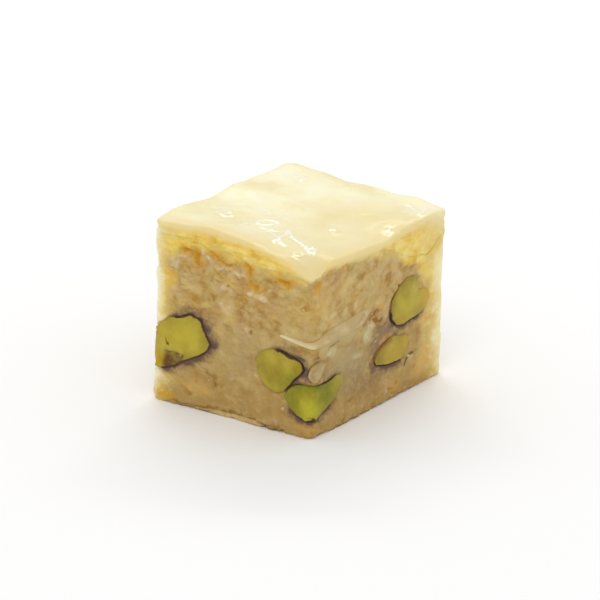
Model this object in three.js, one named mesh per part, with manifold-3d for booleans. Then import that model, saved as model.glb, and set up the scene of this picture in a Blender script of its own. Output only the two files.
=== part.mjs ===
// One square of pistachio baklava: a soft glazed stack of pastry sheets over a thick pressed nut filling
// and a thin pastry base, with cut pistachios showing in its sides. Millimetres, +Z up, standing on z = 0.
//
// Places on the cut sides are given as "around" and "up". Around is the distance along the outline from
// the front upright edge, which is the corner at +X and -Y: it grows along the +X side and is negative
// along the -Y side. Up is the height above the underside.
import * as THREE from "three";
import { mergeVertices } from "three/addons/utils/BufferGeometryUtils.js";
import Module from "manifold-3d";

const wasm = await Module();
wasm.setup();

// Driving dimensions of the block.
const WIDTH = 32.4; // along X
const LENGTH = 39.0; // along Y
const TOP_HEIGHT = 30.95; // mean height of the glazed top
const SEAM_HEIGHT = 27.6; // mean height where the top pastry meets the filling
const TOP_SLOPE = 0.045; // fall of the top for each millimetre towards +X
const SEAM_SLOPE = 0.06; // the same for the seam
const BASE_THICKNESS = 1.4;
const GAP = 0.3; // clear space between neighbouring solids
const LEAN = 0.011; // sideways drift of the cut sides for each millimetre of height
const EDGE_RADIUS = { front: 0.9, right: 0.8, back: 2.2, left: 1.3 }; // upright edges, seen from above

// The rim of the soft top, and the cut sheets under it.
const LIP_OVERHANG = 0.28;
const LIP_RADIUS = 0.7;
const LIP_HEIGHT = 1.33; // from the lip's lower edge to the top
const LIP_ANGLES = [-50, -10, 25, 55]; // places on the lip's round section, in degrees above level
const SHEET_ROWS = 5;
const SHEET_STEP = 0.14; // how far every second row of sheets stands out
const LEAST_SHEETS = 0.4; // the sheets are nowhere thinner than this
const LEAST_LIP = 0.05; // nor does the lip come nearer than this to them

// The thin base bulges and draws in a little.
const BASE_BULGE = 0.15;

// Resolution.
const SIDE_STEPS = 92; // steps round the block
const FILLING_ROWS = 17;
const NUT_STEPS = 18;

// Cut pistachios: how deep each sits, how many rings of triangles its face has, which is more where it
// wraps an upright edge, and the corners of its cut face as [around, up].
const PISTACHIOS = [
  {
    name: "pistachio_left_edge",
    depth: 5.0,
    rings: 7,
    corners: [
      [-36.2, 9.6], [-34.6, 12.0], [-31.7, 12.9], [-29.3, 15.0], [-26.6, 15.7], [-23.7, 16.8], [-22.3, 15.8],
      [-21.6, 13.8], [-20.3, 12.0], [-21.6, 10.4], [-25.2, 8.4], [-28.6, 6.4], [-32.2, 5.7], [-35.2, 6.9],
    ],
  },
  {
    name: "pistachio_front_middle",
    depth: 4.6,
    rings: 3,
    corners: [
      [-11.1, 12.6], [-9.2, 13.8], [-7.3, 14.4], [-5.4, 13.9], [-2.6, 13.2], [-1.6, 12.2], [-3.4, 10.1],
      [-5.4, 7.6], [-7.2, 6.9], [-9.4, 7.7], [-10.8, 9.8],
    ],
  },
  {
    name: "pistachio_front_edge",
    depth: 4.4,
    rings: 7,
    corners: [
      [-5.5, 6.7], [-3.4, 9.0], [-1.9, 9.4], [1.0, 9.2], [3.6, 9.1], [6.5, 9.6], [8.2, 9.3], [8.8, 8.3],
      [7.0, 6.1], [3.4, 4.3], [0.6, 3.3], [-1.6, 3.2], [-3.8, 4.2],
    ],
  },
  {
    name: "pistachio_right_upper",
    depth: 4.8,
    rings: 3,
    corners: [
      [26.7, 20.8], [30.2, 19.9], [31.1, 17.9], [33.8, 16.6], [33.3, 14.4], [30.3, 13.1], [26.2, 12.8],
      [23.2, 13.6], [22.1, 15.3], [23.2, 18.3],
    ],
  },
  {
    name: "pistachio_right_lower",
    depth: 4.4,
    rings: 3,
    corners: [
      [25.2, 11.7], [27.6, 10.1], [27.7, 8.0], [25.4, 6.8], [22.6, 6.7], [19.4, 7.3], [17.6, 8.5],
      [18.2, 9.8], [20.9, 10.8], [23.4, 11.5],
    ],
  },
];

// Pistachios in the two sides at the back: rounded ovals of uneven size, turned by an angle in radians.
const BACK_PISTACHIOS = [
  { name: "pistachio_back_low", around: 47.5, up: 8.6, wide: 10.2, high: 6.8, turn: 0.35, depth: 4.6 },
  { name: "pistachio_back_high", around: 61.5, up: 17.8, wide: 8.4, high: 6.2, turn: -0.5, depth: 4.4 },
  { name: "pistachio_side_high", around: -54.6, up: 19.2, wide: 9.4, high: 7.0, turn: 0.6, depth: 4.8 },
  { name: "pistachio_side_low", around: -47.4, up: 8.2, wide: 7.6, high: 5.8, turn: -0.2, depth: 4.2 },
  { name: "pistachio_side_rear", around: -65.0, up: 9.8, wide: 8.8, high: 5.6, turn: 1.1, depth: 4.4 },
];
const OVAL_CORNERS = 8;
const OVAL_RINGS = 3;
const OVAL_UNEVEN = 0.09; // share by which an oval's corners stray from the true curve

const NUT_CROWN = 0.12; // how far the middle of a nut's cut face stands out
const NUT_FOCUS = 2.2; // how many of its depths behind the face a nut's sides would meet
const POCKET_MARGIN = 0.4; // room round a nut: a little over the gap, because the pocket narrows
const POCKET_RAISE = 1.5; // how far a pocket's cutter reaches out of the side

// A pale nut chip above the pistachio on the front edge.
const NUT_CHIP = {
  name: "nut_chip",
  depth: 2.0,
  rings: 4,
  corners: [
    [-0.5, 10.6], [-0.2, 12.6], [0.9, 13.3], [2.1, 13.3], [3.1, 12.5], [2.8, 11.1], [1.4, 10.1], [0.2, 10.0],
  ],
};

// A thin pale flake wrapped round the front edge: [around, lowest, highest] at stations along it.
const FLAKE = {
  name: "nut_flake",
  thickness: 0.9,
  proud: 0.25,
  roundness: 0.15, // how far its long edges lie back from its middle
  stations: [
    [-6.4, 16.9, 17.2], [-4.0, 16.5, 17.1], [-1.8, 16.1, 16.9], [0.3, 15.8, 17.0], [3.0, 15.8, 17.8],
    [6.5, 15.8, 18.3], [10.5, 15.8, 18.6], [14.0, 16.0, 18.7], [15.6, 17.2, 18.4],
  ],
};
const FLAKE_STEPS = 22;
const FLAKE_ROWS = 3;

// Crags broken out of the cut sides, with a negative reach, and crumbs standing out of them.
const CRAGS = [
  { around: -25.2, up: 28.5, wide: 1.9, high: 0.8, reach: -0.8 },
  { around: -23.3, up: 27.5, wide: 1.3, high: 1.1, reach: -0.85 },
  { around: -22.0, up: 26.4, wide: 1.4, high: 0.8, reach: -0.7 },
  { around: -17.8, up: 28.4, wide: 2.1, high: 0.8, reach: -0.6 },
  { around: -11.2, up: 24.5, wide: 1.9, high: 0.9, reach: -0.75 },
  { around: -6.0, up: 26.7, wide: 1.5, high: 0.9, reach: -0.85 },
  { around: -26.2, up: 26.4, wide: 1.5, high: 1.2, reach: 0.5 },
  { around: -20.9, up: 27.9, wide: 1.4, high: 1.1, reach: 0.45 },
  { around: -15.4, up: 26.7, wide: 2.0, high: 1.0, reach: 0.5 },
  { around: -11.1, up: 22.9, wide: 2.0, high: 1.0, reach: 0.45 },
  { around: 2.4, up: 25.4, wide: 0.9, high: 1.9, reach: -0.5 },
  { around: 6.2, up: 14.6, wide: 2.1, high: 0.8, reach: -0.5 },
  { around: 16.9, up: 15.6, wide: 1.8, high: 1.5, reach: -0.65 },
  { around: 16.8, up: 12.3, wide: 1.6, high: 1.5, reach: 0.35 },
  { around: -32.6, up: 27.8, wide: 2.0, high: 1.9, reach: 0.4 },
  { around: -33.0, up: 1.5, wide: 4.0, high: 4.5, reach: 0.45 },
  { around: 1.8, up: 0.3, wide: 2.4, high: 1.4, reach: -0.5 },
];
const BACK_CRAGS = 22; // more of them, drawn at random, on the two sides at the back
const RELIEF = 0.25; // general unevenness of the cut sides

// Colours.
const GLAZED_PASTRY = new THREE.MeshStandardMaterial({ color: 0xf0e2b4, roughness: 0.3, metalness: 0 });
const NUT_FILLING = new THREE.MeshStandardMaterial({ color: 0xbfa169, roughness: 0.6, metalness: 0 });
const BASE_PASTRY = new THREE.MeshStandardMaterial({ color: 0xb9935a, roughness: 0.55, metalness: 0 });
const PISTACHIO = new THREE.MeshStandardMaterial({ color: 0xa9a03c, roughness: 0.45, metalness: 0 });
const PALE_NUT = new THREE.MeshStandardMaterial({ color: 0xd2bd8e, roughness: 0.5, metalness: 0 });

// The block seen from above: a rectangle with its four upright edges rounded, anticlockwise.
const halfWidth = WIDTH / 2;
const halfLength = LENGTH / 2;
const outline = new THREE.Path();
outline.moveTo(halfWidth, 0);
outline.lineTo(halfWidth, halfLength - EDGE_RADIUS.right);
[
  { x: 1, y: 1, radius: EDGE_RADIUS.right },
  { x: -1, y: 1, radius: EDGE_RADIUS.back },
  { x: -1, y: -1, radius: EDGE_RADIUS.left },
  { x: 1, y: -1, radius: EDGE_RADIUS.front },
].forEach(({ x, y, radius }, i) => {
  const start = (i * Math.PI) / 2;
  outline.absarc(x * (halfWidth - radius), y * (halfLength - radius), radius, start, start + Math.PI / 2);
});
outline.lineTo(halfWidth, 0);
const perimeter = outline.getLength();
const frontEdge = perimeter - (halfLength - EDGE_RADIUS.front) - (EDGE_RADIUS.front * Math.PI) / 4;

// A repeatable draw from 0 to 1 for each pair of whole numbers.
function draw(i, j) {
  const s = Math.sin(i * 127.1 + j * 311.7) * 43758.5453;
  return s - Math.floor(s);
}

// Smooth noise from -1 to 1 on a grid of cells that closes round the block.
function noise(around, up, cell) {
  const cells = Math.round(perimeter / cell);
  const a = THREE.MathUtils.euclideanModulo(around / perimeter, 1) * cells;
  const b = up / cell;
  const i = Math.floor(a);
  const j = Math.floor(b);
  const u = THREE.MathUtils.smoothstep(a - i, 0, 1);
  const v = THREE.MathUtils.smoothstep(b - j, 0, 1);
  const next = (i + 1) % cells;
  const low = THREE.MathUtils.lerp(draw(i, j), draw(next, j), u);
  const high = THREE.MathUtils.lerp(draw(i, j + 1), draw(next, j + 1), u);
  return 2 * THREE.MathUtils.lerp(low, high, v) - 1;
}

// A round bump of height 1 at the middle, falling to nothing about two half-sizes away.
function bump(dx, dy, sizeX, sizeY) {
  return Math.exp(-((dx / sizeX) ** 2) - (dy / sizeY) ** 2);
}

// The crags of the two sides at the back.
for (let i = 0; i < BACK_CRAGS; i += 1) {
  const deep = draw(i, 3) < 0.6;
  CRAGS.push({
    around: THREE.MathUtils.lerp(LENGTH, perimeter - WIDTH, draw(i, 1)),
    up: THREE.MathUtils.lerp(4, SEAM_HEIGHT - 1.5, Math.sqrt(draw(i, 2))),
    wide: THREE.MathUtils.lerp(1.2, 2.2, draw(i, 4)),
    high: THREE.MathUtils.lerp(0.7, 1.3, draw(i, 5)),
    reach: deep ? -0.65 : 0.4,
  });
}

// How far a cut side stands out at a place.
function relief(around, up) {
  const rough = 0.65 * noise(around, up, 3.4) + 0.35 * noise(around + 50, up + 20, 1.9);
  const crags = CRAGS.reduce((sum, crag) => {
    const apart = Math.abs(THREE.MathUtils.euclideanModulo(around - crag.around, perimeter));
    const near = Math.min(apart, perimeter - apart);
    return sum + crag.reach * bump(near, up - crag.up, crag.wide, crag.high);
  }, 0);
  return RELIEF * rough + crags;
}

// A point of the block's outline, moved outwards, with the outward direction there.
function outlinePoint(around) {
  const t = THREE.MathUtils.euclideanModulo((frontEdge + around) / perimeter, 1);
  const point = outline.getPoint(t);
  const tangent = outline.getTangent(t);
  return { point, outward: new THREE.Vector2(tangent.y, -tangent.x) };
}

// A point on a cut side, out from it by a distance.
function cutPoint(around, up, out) {
  const { point, outward } = outlinePoint(around);
  point.addScaledVector(outward, relief(around, up) + out);
  return new THREE.Vector3(point.x + LEAN * up, point.y, up);
}

// The glazed top: high along -X and in the middle of the -Y side, sagging to the front edge and the +X side.
function topHeight(x, y) {
  const fall = TOP_SLOPE * x;
  const frontHump = 1.35 * bump(x + 3, y + halfLength, 9, 6);
  const leftRise = 0.55 * bump(x + halfWidth, y + 12.5, 6, 4);
  const leftDip = 0.45 * bump(x + halfWidth, y + 4.2, 7, 2.6);
  const leftLump = 0.6 * bump(x + halfWidth, y - 2, 5, 2.6);
  const sideSag = 1.0 * bump(x - halfWidth, y + 1.5, 8, 8);
  const rearSag = 0.3 * bump(x - 5, y - halfLength, 7, 7);
  const rearStep = 0.6 * bump(x + 5.2, y - halfLength, 3, 6);
  const rearDip = 0.35 * bump(x + 13, y - halfLength, 3, 4);
  const frontDroop = 2.2 * bump(x - halfWidth, y + halfLength, 4.2, 2.8);
  const rightDroop = 0.8 * bump(x - halfWidth, y - halfLength, 3, 3);
  const waves = 0.14 * Math.sin(0.55 * y + 0.2 * x + 0.6) + 0.1 * Math.sin(0.8 * x - 0.3 * y);
  const rises = frontHump + leftRise + leftLump;
  const dips = fall + leftDip + sideSag + rearSag + rearStep + rearDip + frontDroop + rightDroop;
  return TOP_HEIGHT + rises - dips + waves;
}

// The seam under the cut pastry sheets: they thicken to the right-hand end of the +X side.
function seamHeight(x, y) {
  const fall = SEAM_SLOPE * x;
  const frontRise = 0.45 * bump(x + 8, y + halfLength, 10, 8);
  const sideRise = 0.7 * bump(x - halfWidth, y + 12, 6, 6);
  const thickEnd = 4.0 * bump(x - halfWidth, y - 11.5, 8, 7);
  const waves = 0.15 * Math.sin(0.7 * x + 0.9 * y) + 0.1 * Math.sin(1.3 * y - 0.5 * x);
  return SEAM_HEIGHT - fall + frontRise + sideRise - thickEnd + waves;
}

function baseHeight(x, y) {
  return BASE_THICKNESS + 0.12 * Math.sin(0.6 * x) * Math.cos(0.5 * y);
}

// Turns a profile of rows into a closed solid on the block's outline. The rows run from the upright axis
// across the underside, up the cut side and back over the top. Each says what share of the way out it lies,
// how far out of the cut side it stands and how high it is. Only rows on the cut side take its relief.
function blockSolid(rows) {
  const profile = rows.map((row, i) => new THREE.Vector2(row.share, i));
  const geometry = new THREE.LatheGeometry(profile, SIDE_STEPS).rotateX(Math.PI / 2);
  return displaced(geometry, (place) => {
    const row = rows[Math.round(place.z)];
    const around = (Math.atan2(place.y, place.x) / (2 * Math.PI)) * perimeter - frontEdge;
    const { point, outward } = outlinePoint(around);
    const up = row.height(point.x * row.share, point.y * row.share);
    if (row.share === 1) {
      return cutPoint(around, up, row.out);
    }
    point.addScaledVector(outward, row.out).multiplyScalar(row.share);
    return new THREE.Vector3(point.x + LEAN * up, point.y, up);
  });
}

// Moves every vertex of a geometry to the place that a function works out from where it was.
function displaced(geometry, move) {
  geometry.deleteAttribute("normal");
  geometry.deleteAttribute("uv");
  const merged = mergeVertices(geometry, 1e-4);
  const position = merged.getAttribute("position");
  const place = new THREE.Vector3();
  for (let i = 0; i < position.count; i += 1) {
    place.fromBufferAttribute(position, i);
    const moved = move(place);
    position.setXYZ(i, moved.x, moved.y, moved.z);
  }
  return merged;
}

// Rows of one flat or curved face, from the outside in.
function faceRows(shares, height) {
  return shares.map((share) => ({ share, out: 0, height }));
}

function mix(low, high, t) {
  return (x, y) => THREE.MathUtils.lerp(low(x, y), high(x, y), t);
}

// The filling block, before the nuts' pockets are cut.
function fillingBlock() {
  const low = (x, y) => baseHeight(x, y) + GAP;
  const side = Array.from({ length: FILLING_ROWS }, (_, i) => ({
    share: 1,
    out: 0,
    height: mix(low, seamHeight, i / (FILLING_ROWS - 1)),
  }));
  return blockSolid([...faceRows([0, 0.6], low), ...side, ...faceRows([0.9, 0.76, 0.58, 0], seamHeight)]);
}

// The top: cut sheets, stepped in and out, under a soft rounded lip that hangs a little over them.
function topPastry() {
  const low = (x, y) => seamHeight(x, y) + GAP;
  const lipFoot = (x, y) => Math.max(topHeight(x, y) - LIP_HEIGHT, low(x, y) + LEAST_SHEETS);
  const sheets = Array.from({ length: SHEET_ROWS }, (_, i) => ({
    share: 1,
    out: i % 2 ? SHEET_STEP : -SHEET_STEP,
    height: mix(low, lipFoot, i / SHEET_ROWS),
  }));
  const lip = LIP_ANGLES.map((degrees) => {
    const angle = THREE.MathUtils.degToRad(degrees);
    const drop = LIP_RADIUS * (1 - Math.sin(angle));
    return {
      share: 1,
      out: LIP_OVERHANG - LIP_RADIUS * (1 - Math.cos(angle)),
      height: (x, y) => Math.max(topHeight(x, y) - drop, low(x, y) + LEAST_SHEETS + LEAST_LIP),
    };
  });
  const upper = faceRows([0.93, 0.82, 0.68, 0.52, 0.36, 0.18, 0], topHeight);
  return blockSolid([...faceRows([0, 0.58, 0.76, 0.9], low), ...sheets, ...lip, ...upper]);
}

// The base: flat underneath, with a bulging side.
function basePastry() {
  const floor = () => 0;
  const side = [-1, 0, 1, 0].map((bulge, i) => ({
    share: 1,
    out: bulge * BASE_BULGE,
    height: mix(floor, baseHeight, i / 3),
  }));
  return blockSolid([...faceRows([0, 0.6], floor), ...side, ...faceRows([0.6, 0], baseHeight)]);
}

// The corners of an uneven oval.
function ovalCorners({ around, up, wide, high, turn }, seed) {
  return Array.from({ length: OVAL_CORNERS }, (_, i) => {
    const angle = (i / OVAL_CORNERS) * 2 * Math.PI;
    const stray = 1 + OVAL_UNEVEN * (2 * draw(i, seed + 20) - 1);
    const along = 0.5 * wide * stray * Math.cos(angle);
    const across = 0.5 * high * stray * Math.sin(angle);
    return [
      around + along * Math.cos(turn) - across * Math.sin(turn),
      up + along * Math.sin(turn) + across * Math.cos(turn),
    ];
  });
}

// A piece of nut let into the cut side. Its face is the smooth curve through the corners, flush with the
// side and slightly crowned, and its body draws in towards a point well behind it. Grown by a margin and
// raised out of the side, the same shape is the pocket it sits in.
function nutSolid(nut, margin, raise) {
  const corners = nut.corners.map(([around, up]) => new THREE.Vector2(around, up));
  if (THREE.ShapeUtils.isClockWise(corners)) {
    corners.reverse();
  }
  const middle = corners.reduce((sum, corner) => sum.add(corner), new THREE.Vector2());
  middle.divideScalar(corners.length);
  const spread = corners.map((corner) => {
    const arm = corner.clone().sub(middle);
    return new THREE.Vector3(...arm.setLength(arm.length() + margin), 0);
  });
  const rim = new THREE.CatmullRomCurve3(spread, true, "centripetal");
  const inward = new THREE.Vector3();
  corners.forEach((corner) => {
    const { outward } = outlinePoint(corner.x);
    inward.sub(new THREE.Vector3(outward.x, outward.y, 0));
  });
  const centre = cutPoint(middle.x, middle.y, 0);
  const focus = centre.addScaledVector(inward.normalize(), NUT_FOCUS * (nut.depth + margin));
  const face = Array.from({ length: nut.rings }, (_, i) => 1 - (i + 1) / nut.rings);
  const rows = [
    { share: 0, sunk: 1, raise: 0 },
    { share: 0.64, sunk: 0.9, raise: 0 },
    { share: 0.95, sunk: 0.5, raise: 0 },
    { share: 1, sunk: 0, raise: 0 },
    ...(raise > 0 ? [{ share: 1, sunk: 0, raise }] : []),
    ...face.map((share) => ({ share, sunk: 0, raise })),
  ];
  const profile = rows.map((row, i) => new THREE.Vector2(row.share, i));
  const geometry = new THREE.LatheGeometry(profile, NUT_STEPS).rotateX(Math.PI / 2);
  return displaced(geometry, (place) => {
    const row = rows[Math.round(place.z)];
    const turn = THREE.MathUtils.euclideanModulo(Math.atan2(place.y, place.x) / (2 * Math.PI), 1);
    const arm = rim.getPointAt(turn).multiplyScalar(row.share);
    const crown = row.sunk === 0 ? NUT_CROWN * (1 - row.share ** 2) : 0;
    const onFace = cutPoint(middle.x + arm.x, middle.y + arm.y, row.raise + crown);
    return onFace.lerp(focus, row.sunk / NUT_FOCUS);
  });
}

// The thin flake that wraps the front edge, or with a margin its pocket.
function flakeSolid(flake, margin, raise) {
  const stations = flake.stations;
  const heightAt = (t, which) => {
    const place = t * (stations.length - 1);
    const i = Math.min(Math.floor(place), stations.length - 2);
    return THREE.MathUtils.lerp(stations[i][which], stations[i + 1][which], place - i);
  };
  const geometry = new THREE.BoxGeometry(1, 1, 1, FLAKE_STEPS, FLAKE_ROWS, 1).translate(0.5, 0.5, 0.5);
  return displaced(geometry, (place) => {
    const along = heightAt(place.x, 0) + margin * (2 * place.x - 1);
    const low = heightAt(place.x, 1) - margin;
    const high = heightAt(place.x, 2) + margin;
    const edge = Math.abs(2 * place.y - 1);
    const out = place.z === 1 ? raise - flake.roundness * edge : -flake.thickness - margin;
    return cutPoint(along, THREE.MathUtils.lerp(low, high, place.y), out);
  });
}

// A closed geometry as a solid for cutting, and back.
function toSolid(geometry) {
  const vertProperties = new Float32Array(geometry.getAttribute("position").array);
  const triVerts = new Uint32Array(geometry.index.array);
  return new wasm.Manifold(new wasm.Mesh({ numProp: 3, vertProperties, triVerts }));
}

function toGeometry(solid) {
  const mesh = solid.getMesh();
  const geometry = new THREE.BufferGeometry();
  geometry.setAttribute("position", new THREE.BufferAttribute(mesh.vertProperties, 3));
  geometry.setIndex(new THREE.BufferAttribute(mesh.triVerts, 1));
  return geometry;
}

const block = new THREE.Group();

function addMesh(name, geometry, material) {
  geometry.computeVertexNormals();
  const mesh = new THREE.Mesh(geometry, material);
  mesh.name = name;
  block.add(mesh);
}

const nuts = [
  ...PISTACHIOS,
  ...BACK_PISTACHIOS.map((nut, i) => ({ ...nut, rings: OVAL_RINGS, corners: ovalCorners(nut, i) })),
];

let filling = toSolid(fillingBlock());
[...nuts, NUT_CHIP].forEach((nut) => {
  filling = filling.subtract(toSolid(nutSolid(nut, POCKET_MARGIN, POCKET_RAISE)));
});
filling = filling.subtract(toSolid(flakeSolid(FLAKE, GAP, POCKET_RAISE)));

addMesh("base_pastry", basePastry(), BASE_PASTRY);
addMesh("filling", toGeometry(filling), NUT_FILLING);
addMesh("top_pastry", topPastry(), GLAZED_PASTRY);
nuts.forEach((nut) => addMesh(nut.name, nutSolid(nut, 0, 0), PISTACHIO));
addMesh(NUT_CHIP.name, nutSolid(NUT_CHIP, 0, 0), PALE_NUT);
addMesh(FLAKE.name, flakeSolid(FLAKE, 0, FLAKE.proud), PALE_NUT);

// The origin is the middle of the underside of the box that just holds the whole piece.
const box = new THREE.Box3().setFromObject(block);
const middle = box.getCenter(new THREE.Vector3());
block.position.set(-middle.x, -middle.y, -box.min.z);

const baklava = new THREE.Group();
baklava.add(block);

export default baklava;
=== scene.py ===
# %% [markdown]
# # A piece of pistachio baklava
#
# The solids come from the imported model: a pressed nut filling between a soft glazed top and a thin base,
# with cut pistachios let into its sides. This lesson gives each of them the surface of the real thing.
# Everything is in metres, and a place on a cut side is given in millimetres as "around" and "up": around
# runs along the outline from the front upright edge, growing along the +X side and negative along the -Y
# side, and up is the height above the underside. Blender's noise starts at random unless it gets a seed,
# and with one the piece comes out the same each time.

# %% Load the solids
import math
import random

import bpy
import numpy as np
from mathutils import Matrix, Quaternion, Vector, kdtree, noise


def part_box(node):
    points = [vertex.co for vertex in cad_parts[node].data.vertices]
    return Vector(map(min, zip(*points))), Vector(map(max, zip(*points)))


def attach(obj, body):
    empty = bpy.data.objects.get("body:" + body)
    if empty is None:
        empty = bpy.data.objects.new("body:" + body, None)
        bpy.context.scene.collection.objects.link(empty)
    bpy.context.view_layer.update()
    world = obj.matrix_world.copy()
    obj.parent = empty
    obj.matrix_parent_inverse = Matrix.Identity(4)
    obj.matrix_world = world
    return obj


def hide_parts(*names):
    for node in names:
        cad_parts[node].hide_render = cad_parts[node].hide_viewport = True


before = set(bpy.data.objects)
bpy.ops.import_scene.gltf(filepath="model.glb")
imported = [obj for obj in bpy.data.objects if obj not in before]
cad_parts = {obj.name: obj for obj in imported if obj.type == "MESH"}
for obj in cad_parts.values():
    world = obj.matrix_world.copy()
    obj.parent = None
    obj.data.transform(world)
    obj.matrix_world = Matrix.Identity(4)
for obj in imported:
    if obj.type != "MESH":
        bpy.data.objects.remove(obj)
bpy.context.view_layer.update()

MM = 0.001
NOISE_SEED = 7
noise.seed_set(NOISE_SEED)
print("solids:", sorted(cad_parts))

# %% [markdown]
# ## Camera, floor and light
#
# Food is mostly shown with a long lens, which keeps upright edges upright. The camera stands 0.7 m away
# with a lens of about 250 mm, a little above the piece, and leans by less than a degree.

# %% Camera
AZIMUTH, ELEVATION, ROLL = (math.radians(a) for a in (34.55, 20.1, 0.88))
AIM = Vector((0, 0, 15.3 * MM))
DISTANCE, LENS = 0.7, 251
flat = math.cos(ELEVATION)
back = Vector((math.sin(AZIMUTH) * flat, -math.cos(AZIMUTH) * flat, math.sin(ELEVATION)))
bpy.ops.object.camera_add(location=AIM + back * DISTANCE)
camera = bpy.context.object
camera.rotation_mode = "QUATERNION"
camera.rotation_quaternion = (-back).to_track_quat("-Z", "Y") @ Quaternion((0, 0, 1), ROLL)
camera.data.lens = LENS
camera.data.clip_end = 20
bpy.context.scene.camera = camera
print("camera at", [round(c, 3) for c in camera.location])

# %% [markdown]
# A white floor under an even white sky lights every side, as a light tent does. One large soft lamp above
# and in front models the form, and one behind the piece glances off the syrup. The Standard view shows
# colours as they are, where Blender's default view would grey the whites.

# %% Floor, sky and lamps
SKY_STRENGTH = 0.82


def lamp(name, place, width, height, power):
    bpy.ops.object.light_add(type="AREA", location=place)
    light = bpy.context.object
    light.name = name
    light.data.shape = "RECTANGLE"
    light.data.size, light.data.size_y = width, height
    light.data.energy = power
    light.rotation_mode = "QUATERNION"
    light.rotation_quaternion = (AIM - light.location).to_track_quat("-Z", "Y")


bpy.ops.mesh.primitive_plane_add(size=6)
floor = bpy.context.object
floor.name = "floor"
paper = bpy.data.materials.new("white_paper")
paper.use_nodes = True
paper_shader = paper.node_tree.nodes["Principled BSDF"]
paper_shader.inputs["Base Color"].default_value = (0.97, 0.97, 0.97, 1)
paper_shader.inputs["Roughness"].default_value = 0.9
paper_shader.inputs["Specular IOR Level"].default_value = 0.1
floor.data.materials.append(paper)

world = bpy.data.worlds.new("light_tent")
world.use_nodes = True
world.node_tree.nodes["Background"].inputs["Color"].default_value = (1, 1, 1, 1)
world.node_tree.nodes["Background"].inputs["Strength"].default_value = SKY_STRENGTH
bpy.context.scene.world = world
lamp("key", (0.24, -0.48, 0.62), 0.4, 0.4, 0.8)
lamp("glance", (-0.3, 0.44, 0.47), 0.55, 0.13, 1.1)
bpy.context.scene.view_settings.view_transform = "Standard"

# %% [markdown]
# ## Tools for the pieces
#
# A solid from the model is a shell of loose, rather large triangles. It could be subdivided, but its long
# thin triangles would stay long and thin. So it is copied, its doubles are merged, and a voxel remesh
# lays an even net of small faces over it. Each helper works on the one object that it is given, so it
# deselects everything else first.

# %% Copying and modifying
def select_only(piece):
    bpy.ops.object.select_all(action="DESELECT")
    piece.select_set(True)
    bpy.context.view_layer.objects.active = piece


def modify(piece, kind, **settings):
    """Adds a modifier with these settings and applies it."""
    select_only(piece)
    bpy.ops.object.modifier_add(type=kind)
    modifier = piece.modifiers[-1]
    for key, value in settings.items():
        setattr(modifier, key, value)
    bpy.ops.object.modifier_apply(modifier=modifier.name)


def welded_copy(node, name):
    select_only(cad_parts[node])
    bpy.ops.object.duplicate()
    piece = bpy.context.object
    piece.name = piece.data.name = name
    piece.parent = None
    for key in list(piece.keys()):
        del piece[key]
    bpy.ops.mesh.customdata_custom_splitnormals_clear()
    bpy.ops.object.mode_set(mode="EDIT")
    bpy.ops.mesh.select_all(action="SELECT")
    bpy.ops.mesh.remove_doubles(threshold=0.001 * MM)
    bpy.ops.object.mode_set(mode="OBJECT")
    piece.data.materials.clear()
    return piece


def finely_netted(node, name, voxel, smoothing):
    """A copy of a solid with faces of one voxel, in mm, its facets smoothed away."""
    piece = welded_copy(node, name)
    modify(piece, "REMESH", mode="VOXEL", voxel_size=voxel * MM, use_smooth_shade=True)
    modify(piece, "SMOOTH", factor=0.5, iterations=smoothing)
    return piece


# %% [markdown]
# The next helpers read and write all points of a piece at once, as rows of three numbers in millimetres,
# which is far quicker than one point at a time. A point belongs to the side that it is nearest to, and
# that side also says which way is out.

# %% Points and sides
HALF_WIDTH, HALF_LENGTH = 16.2, 19.5
WIDTH, LENGTH = 2 * HALF_WIDTH, 2 * HALF_LENGTH


def points_of(piece):
    values = np.empty(len(piece.data.vertices) * 3, np.float32)
    piece.data.vertices.foreach_get("co", values)
    return values.reshape(-1, 3) / MM


def move_points(piece, points):
    piece.data.vertices.foreach_set("co", (points * MM).astype(np.float32).ravel())
    piece.data.update()


def normals_of(piece):
    values = np.empty(len(piece.data.vertices) * 3, np.float32)
    piece.data.vertex_normals.foreach_get("vector", values)
    return values.reshape(-1, 3)


def side_of(points):
    """0 to 3 for the side that each point is nearest to: +X, +Y, -X, -Y."""
    x, y = points[:, 0], points[:, 1]
    return np.stack([HALF_WIDTH - x, HALF_LENGTH - y, x + HALF_WIDTH, y + HALF_LENGTH]).argmin(0)


def around_of(points):
    """How far along the outline each point lies: the side that it is nearest to decides."""
    x, y = points[:, 0], points[:, 1]
    along = np.stack([y + HALF_LENGTH, LENGTH + HALF_WIDTH - x, -HALF_LENGTH - WIDTH - y, x - HALF_WIDTH])
    return np.take_along_axis(along, side_of(points)[None], 0)[0]


def unrolled(points):
    """Each point's place on the sides: around and up."""
    return np.stack([around_of(points), points[:, 2]], 1)


def outward_of(points):
    """The direction out of the side that each point is nearest to."""
    return np.array([(1, 0, 0), (0, 1, 0), (-1, 0, 0), (0, -1, 0)])[side_of(points)]


print("the outline is", 2 * (WIDTH + LENGTH), "mm round")

# %% [markdown]
# What has its own place on the food, such as a crag or a stain, could be sculpted and painted by hand.
# Here it is a soft mark at that place instead, whose strength falls off smoothly, and marks add up. A
# line is a mark drawn out along a path. Nothing on food is neat, so the points are mostly moved about by
# noise first, and the marks come out torn. Marks shape the net, or are stored as numbers for the material
# to read.

# %% Soft marks and lines
def torn(points, size, amount, seed=0.0):
    """The points moved about by smooth noise with blots of this size, in mm."""
    start = Vector((seed, 0, 0))
    return points + amount * np.array([noise.noise_vector(Vector(p) / size + start) for p in points])


def marks(points, places):
    """The sum of soft marks (around, up, half width, half height, strength)."""
    around, up = unrolled(points).T
    total = np.zeros(len(points))
    for a, u, wide, high, strength in places:
        total += strength * np.exp(-(((around - a) / wide) ** 2) - ((up - u) / high) ** 2)
    return total


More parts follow.
